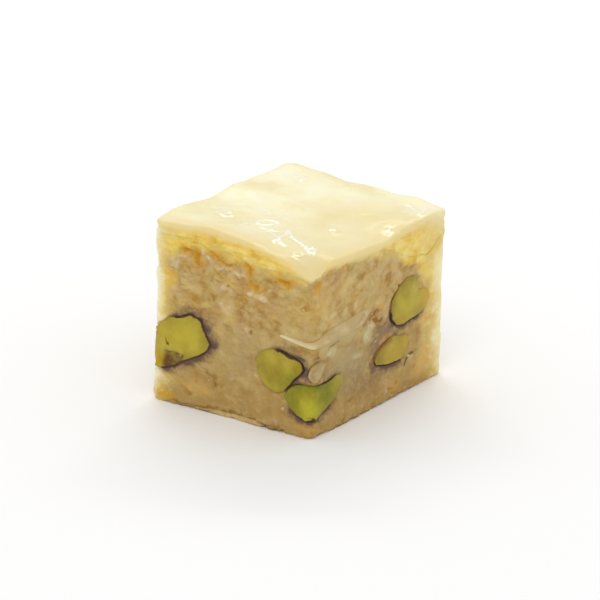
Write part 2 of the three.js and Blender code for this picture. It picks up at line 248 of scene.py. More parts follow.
def lines(here, paths):
    """Soft lines: at each flat place, the strongest of the paths (width, strength, corners)."""
    most = np.zeros(len(here))
    for width, strength, corners in paths:
        for start, stop in zip(np.array(corners[:-1]), np.array(corners[1:])):
            along = stop - start
            t = np.clip((here - start) @ along / (along @ along), 0, 1)
            away = np.linalg.norm(here - start - t[:, None] * along, axis=1)
            most = np.maximum(most, strength * np.exp(-((away / width) ** 2)))
    return most


def store(piece, name, values):
    """Keeps one number for each vertex as an attribute, for the material to read."""
    attribute = piece.data.attributes.new(name, "FLOAT", "POINT")
    attribute.data.foreach_set("value", np.asarray(values, np.float32))


print("a mark's middle:", marks(np.array([(HALF_WIDTH, -HALF_LENGTH, 5.0)]), [(0, 5, 1, 1, 0.5)]))

# %% [markdown]
# Relief comes from Displace modifiers, which push the net in and out by a texture's brightness. A vertex
# group keeps it to where it belongs. The texture is laid out on an empty that is wider than high, which
# draws its grains out flat, as the press did with the nuts.

# %% Relief
def group(piece, name, weights):
    """A vertex group whose weights are rounded to steps, so that few calls fill it."""
    made = piece.vertex_groups.new(name=name)
    steps = np.round(np.clip(weights, 0, 1) * 16).astype(int)
    for step in range(1, 17):
        made.add(np.flatnonzero(steps == step).tolist(), step / 16, "REPLACE")


bpy.ops.object.empty_add()
flattener = bpy.context.object
flattener.name = "flattener"
flattener.scale = (1.6, 1.6, 1.0)
bpy.context.view_layer.update()


def relief(piece, size, depth, where="", octaves=1):
    """Pushes the surface in and out by clouds with grains of this size, both in mm."""
    texture = bpy.data.textures.new(piece.name + "_clouds", "CLOUDS")
    texture.noise_scale = size * MM
    texture.noise_depth = octaves
    modify(piece, "DISPLACE", texture=texture, texture_coords="OBJECT", texture_coords_object=flattener,
           strength=depth * MM, mid_level=0.5, vertex_group=where)


def show(piece, material, slot, *nodes):
    """Shades a finished piece smooth, gives it its material, hangs it on its body and hides its solids."""
    select_only(piece)
    bpy.ops.object.shade_smooth()
    piece.data.materials.append(material)
    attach(piece, "root")
    if nodes:
        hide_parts(*nodes)
    print(piece.name, len(piece.data.polygons), "faces")


print("grains are drawn out by", list(flattener.scale))

# %% [markdown]
# Materials are small trees of nodes, which could be built by hand in the Shader Editor. Here short
# helpers build them. All patterns are laid out in millimetres on Object coordinates, so that they stay
# where they are on the food. Syrup lets light in, so every finish is a little soft underneath.

# %% Nodes and materials
def node(tree, kind, **values):
    """A node with its settings and sockets filled in: a value that is a socket is linked."""
    made = tree.nodes.new("ShaderNode" + kind)
    for key, value in values.items():
        socket = made.inputs.get(key.replace("_", " ")) if key[0].isupper() else None
        if socket is None:
            setattr(made, key, value)
        elif isinstance(value, bpy.types.NodeSocket):
            tree.links.new(value, socket)
        else:
            socket.default_value = value
    return made


SOFT = (1.0, 0.8, 0.5)


def new_material(name, rough, specular, soft, soft_depth, **settings):
    """A material, its tree, its shader and its millimetre coordinates. Light goes this many mm deep."""
    material = bpy.data.materials.new(name)
    material.use_nodes = True
    tree = material.node_tree
    shader = tree.nodes["Principled BSDF"]
    settings.update(Roughness=rough, Specular_IOR_Level=specular, Subsurface_Weight=soft,
                    Subsurface_Scale=soft_depth * MM, Subsurface_Radius=SOFT)
    for key, value in settings.items():
        shader.inputs[key.replace("_", " ")].default_value = value
    place = node(tree, "TexCoord").outputs["Object"]
    scaled = node(tree, "VectorMath", operation="SCALE", Vector=place, Scale=1000.0)
    return material, tree, shader, scaled.outputs["Vector"]


print("light scatters in red, green and blue by", SOFT)

# %% [markdown]
# Noise gives soft blots, and Voronoi cells, shaken by noise, give the uneven bits of ground nuts. The
# other helpers stretch, add and shake such patterns.

# %% Patterns
def speckle(tree, place, size, detail=3.0, rough=0.5):
    """Noise with blots of about this size in mm, from 0 to 1, mostly near a half."""
    return node(tree, "TexNoise", Vector=place, Scale=1 / size, Detail=detail, Roughness=rough).outputs[0]


def crumbled(tree, place, size):
    """A number for each of many small uneven cells, like ground nuts seen on a cut."""
    blots = node(tree, "TexNoise", Vector=place, Scale=1.4 / size, Detail=2.0)
    mixed = node(tree, "VectorMath", operation="MULTIPLY_ADD")
    tree.links.new(blots.outputs["Color"], mixed.inputs[0])
    mixed.inputs[1].default_value = (size, size, size)
    tree.links.new(place, mixed.inputs[2])
    cells = node(tree, "TexVoronoi", Vector=mixed.outputs[0], Scale=1 / size)
    return node(tree, "SeparateColor", Color=cells.outputs["Color"]).outputs[0]


def between(tree, value, low, high, to_low=0.0, to_high=1.0):
    """Stretches the range low to high of a value."""
    made = node(tree, "MapRange", Value=value)
    for name, number in (("From Min", low), ("From Max", high), ("To Min", to_low), ("To Max", to_high)):
        made.inputs[name].default_value = number
    return made.outputs[0]


def sums(tree, operation, *values):
    made = node(tree, "Math", operation=operation)
    for socket, value in zip(made.inputs, values):
        if isinstance(value, bpy.types.NodeSocket):
            tree.links.new(value, socket)
        else:
            socket.default_value = value
    return made.outputs[0]


def shaken(tree, value, pattern, amount):
    """A value moved up and down by a pattern that lies between 0 and 1."""
    return sums(tree, "MULTIPLY_ADD", pattern, amount, sums(tree, "SUBTRACT", value, amount / 2))


print("patterns: speckle, crumbled")

# %% [markdown]
# Colours are written as on a screen and laid one over another, as a painter glazes. A mark is a number
# that was stored for each point, and it comes in as a factor.

# %% Colours
def colour(red, green, blue):
    """A colour written as on a screen, 0 to 255, turned into light."""
    return tuple(((c / 255 + 0.055) / 1.055) ** 2.4 if c > 10 else c / 3294.6 for c in (red, green, blue))


def tint(tree, factor, under, over):
    """One colour laid over another by a factor. A colour is a socket or three numbers."""
    made = node(tree, "Mix", data_type="RGBA", clamp_factor=True)
    tree.links.new(factor, made.inputs[0])
    for socket, colour in ((made.inputs[6], under), (made.inputs[7], over)):
        if isinstance(colour, bpy.types.NodeSocket):
            tree.links.new(colour, socket)
        else:
            socket.default_value = (*colour, 1)
    return made.outputs[2]


def wash(tree, paint, value, low, high, most, screen):
    """Lays a colour over the paint: none of it where the value is low, and the most where it is high."""
    return tint(tree, between(tree, value, low, high, 0, most), paint, colour(*screen))


def ramp(tree, value, *stops):
    """Colours along a value: each stop is a position and three screen numbers."""
    made = node(tree, "ValToRGB", Fac=value)
    elements = made.color_ramp.elements
    while len(elements) < len(stops):
        elements.new(0.5)
    for element, (position, *screen) in zip(elements, stops):
        element.position = position
        element.color = (*colour(*screen), 1)
    return made.outputs[0]


def mark_of(tree, name):
    return node(tree, "Attribute", attribute_name=name).outputs["Fac"]


def bump(tree, shader, height, depth):
    """A fine unevenness for the light only, in mm."""
    made = node(tree, "Bump", Height=height, Distance=depth * MM)
    tree.links.new(made.outputs[0], shader.inputs["Normal"])


print("mid grey is", [round(c, 3) for c in colour(128, 128, 128)])

# %% [markdown]
# The knife went through pastry and nuts alike, so all cut sides share one paint: tan ground nuts, which
# are golden where syrup soaked down from the top sheets. Near the outer upright edges the paint is pale:
# that is painted light, standing in for light that shines through the edges. Each piece could have a
# paint of its own, but a line would show where they meet. So the border of the gold is worked out from
# places, and not from where one solid ends.

# %% Paint of the cut sides
GLOW_LINE = [
    (-71.4, 28.4), (-60, 27.6), (-50, 28.6), (-40, 27.4), (-33, 23.0), (-30.9, 24.4), (-28.5, 25.8),
    (-25.8, 28.0), (-22.8, 28.2), (-18.8, 28.6), (-14.7, 27.7), (-11.2, 27.4), (-7.8, 27.2),
    (-2.8, 26.9), (0.1, 28.2), (4.3, 28.8), (8.6, 28.4), (14.5, 27.7), (18.9, 27.0), (23.4, 26.0),
    (26.5, 23.4), (29.6, 22.0), (32.7, 19.5), (35.0, 17.0), (38.0, 18.0), (42, 24.0), (46, 27.0),
    (54, 27.4), (63, 28.0), (71.4, 28.4),
]


def border_at(points, border):
    """How high a border, given as places, runs at each point."""
    return np.interp(around_of(points), *zip(*border))


def lit_edge_of(points):
    """1 at the outer upright edges, where pale light is painted on, and 0 from a few mm on."""
    around = around_of(points)
    widths = ((-WIDTH, 5.0), (LENGTH, 9.0), (LENGTH + WIDTH, 3.0), (-LENGTH - WIDTH, 3.0))
    return np.max([np.clip(1 - np.abs(around - lit_edge) / width, 0, 1) for lit_edge, width in widths], 0)


def store_cut_marks(piece, points):
    """What the paint of the cut sides reads: the height above the gold's border, and the painted edge
    light.
    """
    uneven = torn(points, 2.5, 1.1, seed=3)
    store(piece, "glow", points[:, 2] - border_at(uneven, GLOW_LINE))
    faded = np.clip((points[:, 2] + 2) / 6, 0, 1) - marks(uneven, [(37.0, 24.0, 4.0, 3.0, 0.5)])
    store(piece, "lit_edge", lit_edge_of(uneven) * faded)


def cut_face(tree, place, lump):
    """The paint of a cut side. Gives also the number, 0 dark to 1 pale, that it follows."""
    mass = speckle(tree, place, 2.4, 7, 0.58)
    mixed = shaken(tree, shaken(tree, mass, lump, 0.13), crumbled(tree, place, 0.45), 0.08)
    paint = ramp(tree, mixed, (0.3, 163, 122, 56), (0.42, 182, 148, 84), (0.5, 188, 160, 99),
                 (0.6, 195, 169, 111), (0.75, 210, 189, 138))
    paint = wash(tree, paint, speckle(tree, place, 2.8, 4, 0.55), 0.5, 0.68, 0.4, (208, 172, 132))
    paint = wash(tree, paint, speckle(tree, place, 3.2, 5, 0.6), 0.5, 0.34, 0.4, (198, 156, 76))
    flaky = node(tree, "Mapping", Vector=place, Scale=(0.8, 0.8, 1.8)).outputs[0]
    layers = sums(tree, "MULTIPLY_ADD", speckle(tree, flaky, 1.5, 4, 0.6), 0.45,
                  sums(tree, "MULTIPLY", speckle(tree, place, 2.0, 5, 0.6), 0.55))
    gold = ramp(tree, layers, (0.36, 212, 164, 44), (0.47, 232, 198, 84), (0.56, 238, 210, 112),
                (0.66, 240, 222, 150))
    reach = sums(tree, "MULTIPLY_ADD", speckle(tree, place, 1.8, 5, 0.6), 3.6, mark_of(tree, "glow"))
    paint = tint(tree, between(tree, reach, 1.0, 2.8), paint, gold)
    # The pale edges are painted light: a yellow and then a cream glow laid over the paint by the upright
    # edges.
    pale = shaken(tree, mark_of(tree, "lit_edge"), speckle(tree, place, 2.2, 4), 0.9)
    paint = wash(tree, paint, pale, 0.0, 0.5, 0.9, (228, 202, 118))
    return wash(tree, paint, pale, 0.35, 0.9, 0.95, (249, 241, 198)), mixed


print("the gold reaches down to", min(up for _, up in GLOW_LINE), "mm")

# %% [markdown]
# ## The nuts
#
# Whole pistachios are baked in and cut through with the block, so their faces lie flush in its sides:
# smooth, waxy and slightly domed, with a rim that the knife left sharp. They could be modelled afresh,
# but the solids already have their places and sizes. So a fine net is smoothed just enough to lose its
# facets, the outlines are pulled about, because no kernel is a neat oval, and each nut is widened and
# pushed out a little so that it fills its pocket.

# %% Net the nuts
INSETS = sorted(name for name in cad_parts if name.startswith(("pistachio", "nut")))
NUT_VOXEL = 0.14
PROUD, WIDER, FLAKE_SUNK = 0.06, 0.08, 0.05
NUT_PITS = [
    (-29.0, 7.5, 1.2, 0.9, 0.14), (-26.6, 8.9, 0.45, 0.3, 0.2), (-29.45, 10.9, 0.16, 0.4, 0.12),
    (-29.1, 10.6, 0.3, 0.16, 0.12),
]
PULLS = [
    (25.4, 11.7, 1.6, 0.5, -0.9), (17.4, 8.7, 1.1, 0.0, -1.0), (18.6, 10.2, 1.2, 0.2, -0.5),
    (26.0, 6.6, 1.1, 0.5, -0.3), (31.3, 18.3, 1.0, -0.6, -0.5), (34.0, 15.4, 1.2, 0.6, -0.1),
    (32.6, 13.4, 1.0, 0.3, -0.3), (22.1, 15.8, 1.5, 0.4, 0.0),
]


def is_hidden(name):
    return "back" in name or "side" in name


def reshaped(name, points):
    """Pulls a nut's outline about: by the listed pulls where it counts, and by noise on the sides at the
    back.
    """
    out = outward_of(points)
    if is_hidden(name):
        shift = 1.6 * (torn(points, 3.4, 1.0, seed=len(name)) - points)
        return points + shift - (shift * out).sum(1, keepdims=True) * out
    moved = points.copy()
    around, up = unrolled(points).T
    for a, u, reach, along, rise in PULLS:
        pull = np.exp(-(((around - a) ** 2 + (up - u) ** 2) / reach**2))[:, None]
        moved += pull * (along * np.cross((0, 0, 1), out) + rise * np.array((0, 0, 1)))
    return moved


def spread(points, normals, amount):
    """Widens a nut within the side that it lies in, and leaves its face where it is."""
    out = outward_of(points)
    facing = (normals * out).sum(1, keepdims=True)
    return points + amount * (normals - facing * out) * np.clip(1.4 - 2 * np.abs(facing), 0, 1)


nuts = {}
for name in INSETS:
    nut = finely_netted(name, name + "_cut", NUT_VOXEL, 4)
    move_points(nut, reshaped(name, points_of(nut)))
    points, normals = points_of(nut), normals_of(nut)
    facing = (normals * outward_of(points)).sum(1).clip(0, 1)[:, None]
    pushed = PROUD - marks(points, NUT_PITS)[:, None]
    points = spread(points, normals, WIDER) + outward_of(points) * facing * pushed
    if name == "nut_flake":
        points -= FLAKE_SUNK * outward_of(points) * facing
    move_points(nut, points)
    depth = 0.3 if is_hidden(name) else 0.5 if name == "nut_chip" else 0.12
    relief(nut, 1.1 if name == "nut_chip" else 2.4, depth, octaves=1)
    nuts[name] = nut
print("nuts:", {name: len(nut.data.vertices) for name, nut in nuts.items()})

# %% [markdown]
# ## The glazed top
#
# The top is a stack of thin sheets soaked in syrup. The uppermost sheet has set to a smooth cream skin
# that rolls over the edge as a lip; below it, the cut sheets show golden. A wrinkle is a path on the
# skin, as (height, corners) with corners in x and y. The lip's lower edge is a border like the gold's.

# %% Wrinkles and lip
WRINKLES = [
    (0.7, [(-10.4, -9.8), (-8.8, -10.6), (-7.6, -10.9), (-7.2, -10.0)]),
    (0.6, [(-9.8, -8.7), (-8.8, -8.6), (-8.1, -8.9)]),
    (1.0, [(-1.8, -10.2), (-2.4, -8.8), (-1.8, -7.7), (-0.7, -6.9), (0.4, -7.3)]),
    (1.0, [(0.2, -8.7), (-0.6, -10.0), (-1.8, -10.2)]),
    (0.6, [(-5.2, -4.0), (-5.0, -3.1), (-4.2, -3.2), (-3.3, -4.4)]),
    (0.5, [(-3.6, -5.3), (-5.2, -4.0)]), (0.6, [(-1.2, -4.7), (-0.8, -3.8), (0.7, -4.6)]),
    (0.8, [(-3.4, -12.7), (-2.8, -11.6)]),
    (0.8, [(0.0, -11.4), (1.4, -11.0), (2.7, -10.6), (4.0, -9.0)]),
    (0.8, [(1.4, -11.6), (3.0, -12.2), (4.8, -13.3)]),
    (1.2, [(5.3, -15.4), (4.8, -12.7), (4.3, -10.6), (3.9, -9.1)]),
    (0.7, [(5.9, -14.3), (7.3, -15.2)]),
    (1.2, [(4.1, -9.5), (6.5, -11.5), (7.9, -12.3), (9.1, -12.6), (11.1, -14.1)]),
    (1.2, [(11.0, -14.2), (11.1, -12.9), (12.1, -13.3), (12.6, -15.4), (11.0, -14.2)]),
    (0.7, [(11.2, -17.1), (12.0, -15.9)]), (0.6, [(8.2, -3.3), (8.7, -2.9)]),
    (1.1, [(10.9, 15.4), (11.7, 15.4), (13.3, 14.0)]),
    (1.1, [(15.3, 12.3), (14.7, 14.4), (14.2, 16.0)]), (0.6, [(12.3, 11.3), (12.9, 11.1)]),
    (0.6, [(15.1, 3.2), (14.7, 4.8)]),
    (0.7, [(-10.9, 13.4), (-10.4, 14.5), (-8.9, 14.2), (-8.8, 12.3)]),
    (0.5, [(1.2, -9.3), (1.9, -8.1)]),
]
LIP_EDGE = [
    (-71.4, 30.3), (-60, 30.1), (-50, 30.6), (-40, 30.2), (-33, 30.6), (-30, 30.8), (-26, 31.1),
    (-22.5, 31.6), (-19, 31.5), (-13.3, 31.2), (-9.9, 31.0), (-6.4, 30.1), (-4.2, 28.9), (-2.3, 27.8),
    (-0.7, 27.5), (0.3, 28.6), (1.1, 29.6), (4.6, 29.1), (7.9, 28.7), (12.1, 28.4), (19.1, 28.1),
    (23.3, 28.5), (29, 29.0), (33.4, 28.6), (36.4, 27.0), (40, 27.6), (46, 29.0), (54, 29.3),
    (63, 29.9), (71.4, 30.3),
]
print("wrinkles:", len(WRINKLES))

# %% [markdown]
# The net is smoothed more on the skin than on the sheets, the sheets get finer ridges than the skin, and
# the wrinkles stand out a tenth of a millimetre and catch the light. The filling has to meet the top
# without a step, so two borders are measured here for it: how low the top's rim hangs, and how far it
# stands out.

# %% Net the top
def out_by(points):
    """How far each point stands out of the plane of its side."""
    return (points * outward_of(points)).sum(1) - np.where(side_of(points) % 2, HALF_LENGTH, HALF_WIDTH)


def along_outline(points, chosen, measure):
    """A border: a measure of the chosen points, millimetre by millimetre of the outline."""
    steps = np.round(around_of(points)).astype(int)
    return [(step, measure(chosen & (steps == step))) for step in np.unique(steps[chosen])]


SHEET_VOXEL = 0.2
WRINKLE_HEIGHT, WRINKLE_WIDTH, SYRUP_WIDTH = 0.1, 0.24, 0.8
top = finely_netted("top_pastry", "glazed_top", SHEET_VOXEL, 2)
points = points_of(top)
normals = normals_of(top)
outer = np.abs(normals[:, 2]) < 0.6
at_back = np.clip((np.abs(around_of(points)) - 22) / 12, 0, 1)
drop = np.where(normals[:, 2] > 0.6, -1 - 1.6 * at_back + 0.6 * out_by(points),
                border_at(points, LIP_EDGE) - points[:, 2])
rims = along_outline(points, outer, lambda here: np.percentile(points[here][:, 2], 3))
skin = np.clip((0.5 - drop) / 0.5, 0, 1) * (normals[:, 2] > -0.5)
group(top, "skin", skin)
group(top, "sheets", (1 - skin) * (np.abs(normals[:, 2]) < 0.6))
modify(top, "SMOOTH", factor=0.5, iterations=14, vertex_group="skin")
relief(top, 5.0, 0.08, where="skin", octaves=0)
relief(top, 1.7, 0.07, where="skin", octaves=1)
relief(top, 0.9, 0.30, where="sheets", octaves=2)
points = points_of(top)
above_rim = points[:, 2] - border_at(points, rims)
at_rim = outer & (above_rim > 0.3) & (above_rim < 1.1)
feet = along_outline(points, at_rim, lambda here: np.median(out_by(points[here])))
crumpled = torn(points, 0.9, 0.35)[:, :2]
upper = points[:, 2] > 25
web = lines(crumpled, [(WRINKLE_WIDTH, high, corners) for high, corners in WRINKLES]) * skin * upper
points[:, 2] += WRINKLE_HEIGHT * web
move_points(top, points)
store(top, "drop", drop)
store(top, "yolky", np.exp(-(((points[:, :2] - (7.5, 6.0)) / (6.5, 6.5)) ** 2).sum(1)))
store(top, "web", web)
store(top, "wet", lines(crumpled, [(SYRUP_WIDTH, 1, corners) for _, corners in WRINKLES]) * upper)
store_cut_marks(top, points)
print("the rim hangs down to %.1f mm" % min(up for _, up in rims))

# %% [markdown]
# The skin is cream, and turns golden below the lip, where the paint of the cut sides takes over. It is
# yellower in one soft patch, and darker and yellower towards the front corner, which is painted shade. The
# wrinkles are painted near-white: partly a paler skin there, partly a painted highlight. A thin coat over
# the colour gives the wet shine of syrup. It is strongest round the wrinkles, where syrup gathers, so only
# there do the lamps glint.

# %% Finish of the top
glazed_pastry, tree, shader, place = new_material(
    "glazed_pastry", 0.5, 0.35, 0.3, 2.0, Coat_Weight=0.5, Coat_Roughness=0.07)
cream = ramp(tree, speckle(tree, place, 7, 4), (0.36, 236, 223, 170), (0.5, 243, 235, 189),
             (0.64, 247, 241, 208))
cream = wash(tree, cream, speckle(tree, place, 2.2, 5, 0.6), 0.48, 0.7, 0.4, (248, 242, 212))
cream = wash(tree, cream, speckle(tree, place, 3.4, 3), 0.5, 0.68, 0.3, (240, 226, 172))
flattened = node(tree, "Mapping", Vector=place, Scale=(0.75, 0.75, 1)).outputs[0]
gold = cut_face(tree, flattened, speckle(tree, flattened, 1.6, 3))[0]
below = sums(tree, "MULTIPLY_ADD", speckle(tree, place, 2.0, 4), 1.6, mark_of(tree, "drop"))
to_corner = node(tree, "VectorMath", operation="DOT_PRODUCT", Vector=place)
to_corner.inputs[1].default_value = (1, -0.8, 0)
# Painted shade: the skin is painted darker and yellower towards the front corner.
cream = wash(tree, cream, to_corner.outputs["Value"], -4, 22, 0.7, (230, 213, 152))
cream = wash(tree, cream, mark_of(tree, "yolky"), 0, 1, 0.5, (230, 206, 132))
cream = wash(tree, cream, below, -2.8, 0.9, 0.95, (232, 208, 138))
# The wrinkles are painted near-white: partly a paler skin there, partly a painted highlight.
cream = wash(tree, cream, mark_of(tree, "web"), 0.2, 0.9, 0.6, (254, 252, 236))
tree.links.new(tint(tree, between(tree, below, 0.5, 1.7), cream, gold), shader.inputs["Base Color"])
tree.links.new(between(tree, mark_of(tree, "wet"), 0, 1, 0.12, 0.9), shader.inputs["Coat Weight"])
show(top, glazed_pastry, "top_pastry", "top_pastry")

# %% [markdown]
# What is left of a pistachio's purple-black skin shows as a thin line along part of its rim, and it
# stains the mass beside it. Nuts and filling both show it, so the lines are given once, as (strength,
# path). Slivers are bits of skin in the mass itself, as (width, strength, path), and rust is a brown
# graze on two of the nuts. The nuts on the sides at the back get their skins by direction.

# %% Paths of the skins
SKINS = [
    (1.0, [
        (-27.2, 15.6), (-23.1, 16.9), (-22.5, 16.1), (-22.0, 14.8), (-20.4, 12.2), (-21.0, 10.5),
        (-23.5, 8.7), (-26.7, 7.0), (-30.0, 6.0)]),
    (1.0, [(-6.6, 14.1), (-4.2, 13.6), (-1.6, 12.3), (-2.8, 10.5), (-4.9, 8.2)]),
    (1.0, [(-3.8, 3.8), (-2.4, 3.0), (-0.4, 2.8), (2.2, 3.1), (5.1, 4.3)]),
    (0.7, [(3.0, 9.6), (4.4, 9.5), (6.2, 9.3)]), (0.15, [(24.4, 19.2), (23.4, 18.0), (22.6, 16.8)]),
    (0.25, [(22.4, 16.9), (22.3, 15.4)]),
    (1.0, [(22.5, 14.8), (23.2, 13.8), (24.6, 12.9), (26.5, 12.6), (28.6, 12.8), (30.4, 12.8)]),
    (1.0, [(17.2, 7.5), (20.1, 6.9), (23.5, 6.5), (25.2, 6.4)]),
]
SLIVERS = [
    (0.32, 0.85, [(26.9, 5.2), (27.3, 6.0), (27.9, 6.6), (28.6, 6.8), (29.4, 6.7)]),
    (0.14, 0.6, [(4.5, 14.8), (5.9, 15.1), (7.6, 15.2)]), (0.2, 0.8, [(-2.9, 14.0), (-2.2, 13.7)]),
    (0.2, 0.8, [(24.3, 20.0), (24.6, 20.1)]),
]
RUST = [
    (0.45, 0.9, [(17.3, 8.2), (18.2, 9.6), (20.4, 10.6), (22.6, 11.0)]),
    (0.5, 0.4, [(24.0, 19.2), (22.9, 17.4)]),
]


def skin_lines(points, width):
    return lines(unrolled(points), [(width, strength, path) for strength, path in SKINS])


print("skin lines:", len(SKINS))

# %% [markdown]
# ## The filling
#
# The filling is ground nuts pressed with syrup: a tan, moist mass whose knife-cut sides show soft lumps,
# pits and short cracks. The real mass closes tightly round each nut and sticks to the pastry above and
# below. So the faces under the top and over the base are moved a little into the pastry, and copies of
# the nuts are swollen, set back and fused with the block by one voxel remesh. Each nut gives two such
# plugs: one with the outline as it was pulled, and a deeper one with the solid's own outline, which fills
# what is left of the solid's pocket.

# %% Fuse and net the filling
FILLING_VOXEL, PLUG_VOXEL = 0.222, 0.4
FOOT_LINE = [
    (-71.4, 0.4), (-45.0, 0.3), (-33.0, 0.3), (-25.7, 0.45), (-21.6, 0.65), (-18.5, 0.9),
    (-13.4, 1.0), (-11.0, 0.95), (-9.5, 0.35), (-5.0, 0.25), (10.0, 0.3), (20.0, 0.25), (39.0, 0.3),
    (55.0, 0.5), (71.4, 0.4),
]


def sides_of(name):
    """Which way a nut looks out of the block: one side, or two for a nut on an upright edge."""
    low, high = (Vector(corner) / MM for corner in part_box(name))
    return Vector(((high.x > HALF_WIDTH - 0.9) - (low.x < 0.9 - HALF_WIDTH),
                   (high.y > HALF_LENGTH - 0.9) - (low.y < 0.9 - HALF_LENGTH), 0))


block = welded_copy("filling", "nut_filling")
points = points_of(block)
normals = normals_of(block)
points[:, 2] += np.where((normals[:, 2] > 0.5) & (points[:, 2] > 20), 1.0, 0)
foot = (normals[:, 2] < -0.5) & (points[:, 2] < 3)
points[foot, 2] = border_at(points[foot], FOOT_LINE)
move_points(block, points)
swollen = []
for name, as_cut in [(name, as_cut) for name in INSETS for as_cut in (True, False)]:
    plug = welded_copy(name, name + "_plug")
    modify(plug, "REMESH", mode="VOXEL", voxel_size=PLUG_VOXEL * MM)
    swelling, sinking = (0.6, 0.62) if name == "nut_flake" else (0.45, 0.55)
    if as_cut:
        move_points(plug, reshaped(name, points_of(plug)))
    else:
        sinking += 0.35 if is_hidden(name) else 0.1
    modify(plug, "DISPLACE", strength=swelling * MM, mid_level=0.0)
    move_points(plug, points_of(plug) - sinking * np.array(sides_of(name)))
    swollen.append(plug)
select_only(block)
for plug in swollen:
    plug.select_set(True)
bpy.ops.object.join()
modify(block, "REMESH", mode="VOXEL", voxel_size=FILLING_VOXEL * MM, use_smooth_shade=True)
modify(block, "SMOOTH", factor=0.5, iterations=3)
points = points_of(block)
print("filling net:", len(points), "points")

# %% [markdown]
# Where the knife tore the mass, it left crags, as (width, depth, path), pits and standing lumps, as
# marks. The ones on the two sides at the front have their own places. Those at the back are picked at
# random from a fixed seed, so that these sides are as lively and come out the same each time.

# %% Places of crags, pits and lumps
def hidden_places(seed, count, up_range, wide, high, strength):
    """Marks at random on the two sides at the back."""
    pick = random.Random(seed)
    places = []
    for _ in range(count):
        around = pick.choice((1, -1)) * pick.uniform(37, 69) + pick.uniform(0, 2)
        up = pick.uniform(*up_range)
        wider, higher = pick.uniform(0.6, 1.3), pick.uniform(0.6, 1.3)
        places.append((around, up, wide * wider, high * higher, strength * pick.uniform(0.6, 1)))
    return places


CRAGS = [
    (0.45, 0.35, [(-26.5, 27.8), (-25.0, 27.8), (-23.6, 27.3), (-23.6, 26.6), (-22.4, 25.7)]),
    (0.40, 0.28, [(-20.8, 28.1), (-19.2, 27.9)]),
    (0.35, 0.30, [(-18.9, 27.3), (-17.3, 26.8), (-15.8, 26.9)]),
    (0.45, 0.30, [(-13.9, 27.6), (-12.7, 27.1), (-13.1, 26.4)]),
    (0.35, 0.28, [(-12.8, 24.8), (-11.8, 24.1)]), (0.30, 0.24, [(-10.6, 24.2), (-9.8, 23.9)]),
    (0.50, 0.40, [(-6.9, 26.7), (-6.0, 26.4), (-5.2, 26.2)]),
    (0.40, 0.18, [(-4.4, 26.4), (-3.6, 26.2)]), (0.35, 0.25, [(1.0, 27.4), (1.6, 26.0), (2.2, 24.8)]),
    (0.35, 0.18, [(3.8, 28.6), (6.0, 28.1), (8.4, 27.7)]),
    (0.40, 0.35, [(15.8, 17.7), (15.3, 16.7), (14.2, 15.5)]),
    (0.35, 0.15, [(-20.0, 25.2), (-18.8, 24.6), (-16.0, 24.2)]),
    (0.30, 0.20, [(-25.8, 25.6), (-24.6, 24.9)]),
]
PITS = [
    (6.3, 14.8, 1.4, 0.18, 0.25), (18.9, 15.4, 0.7, 0.25, 0.30), (18.4, 16.9, 0.8, 0.25, 0.25),
    (24.5, 19.9, 0.4, 0.3, 0.30), (-8.4, 0.8, 1.6, 0.35, 0.35), (-6.1, 0.6, 0.4, 0.5, 0.30),
    (10.6, 3.4, 0.7, 0.2, 0.20), (23.0, 2.0, 0.9, 0.3, 0.20), (24.0, 2.7, 0.5, 0.3, 0.20),
    (16.2, 16.0, 0.3, 0.5, 0.25), (-12.4, 16.5, 0.35, 0.3, 0.35), (-17.0, 16.1, 0.7, 0.4, 0.12),
]
LUMPS = [
    (-27.7, 25.1, 0.9, 0.8, 0.35), (-26.2, 26.6, 1.0, 0.6, 0.35), (-22.3, 27.6, 0.5, 0.8, 0.35),
    (-21.0, 26.7, 0.9, 0.5, 0.35), (-18.3, 26.1, 0.5, 0.35, 0.40), (-15.1, 26.0, 1.5, 0.5, 0.35),
    (-24.4, 23.6, 1.6, 1.2, 0.08), (-8.7, 23.9, 0.5, 0.3, 0.25), (-20.2, 22.6, 2.0, 1.6, 0.08),
    (-12.6, 23.1, 0.7, 0.4, 0.40), (-10.4, 22.6, 1.2, 0.5, 0.40), (-17.1, 19.4, 1.8, 1.3, 0.15),
    (-4.0, 25.2, 1.1, 0.4, 0.20), (-18.6, 19.9, 0.35, 0.25, 0.40), (-13.0, 16.8, 0.6, 0.4, 0.30),
    (-15.5, 7.6, 1.3, 0.6, 0.12), (-12.4, 6.9, 1.6, 1.1, 0.12), (-10.6, 1.6, 0.6, 0.35, 0.18),
    (-9.4, 1.4, 0.5, 0.4, 0.14), (-7.4, 2.0, 0.8, 0.4, 0.14), (17.1, 17.0, 0.4, 0.3, 0.30),
    (21.6, 1.9, 0.4, 0.35, 0.20), (18.3, 2.3, 1.6, 0.3, 0.12), (8.3, 2.6, 0.5, 0.35, 0.16),
    (16.1, 13.6, 1.2, 1.1, 0.15), (17.3, 15.1, 0.6, 0.5, 0.25), (5.3, 13.7, 1.5, 0.7, 0.15),
    (12.7, 11.3, 1.6, 0.6, 0.10), (15.6, 26.5, 1.2, 0.7, 0.15), (18.5, 24.8, 2.6, 0.9, 0.10),
    (12.0, 20.6, 0.6, 0.9, 0.20), (5.3, 20.6, 0.9, 0.6, 0.20),
]
for a, u, w, h, deep in hidden_places(3, 10, (20, 28), 1.4, 0.5, 0.26):
    CRAGS.append((0.8 * h, deep, [(a - w, u - 0.4 * h), (a, u), (a + w, u + 0.4 * h)]))
LUMPS += hidden_places(4, 22, (4, 28), 1.2, 0.7, 0.25)
PITS += hidden_places(5, 12, (3, 26), 0.6, 0.35, 0.3)
print("crags:", len(CRAGS), "lumps:", len(LUMPS), "pits:", len(PITS))

# %% [markdown]
# Three more helpers: how far the nearest nut is, how the sides split into lumps as ground nuts do, and
# how the knife and the tray chipped the lower edge. A k-d tree finds the nearest of many points quickly.

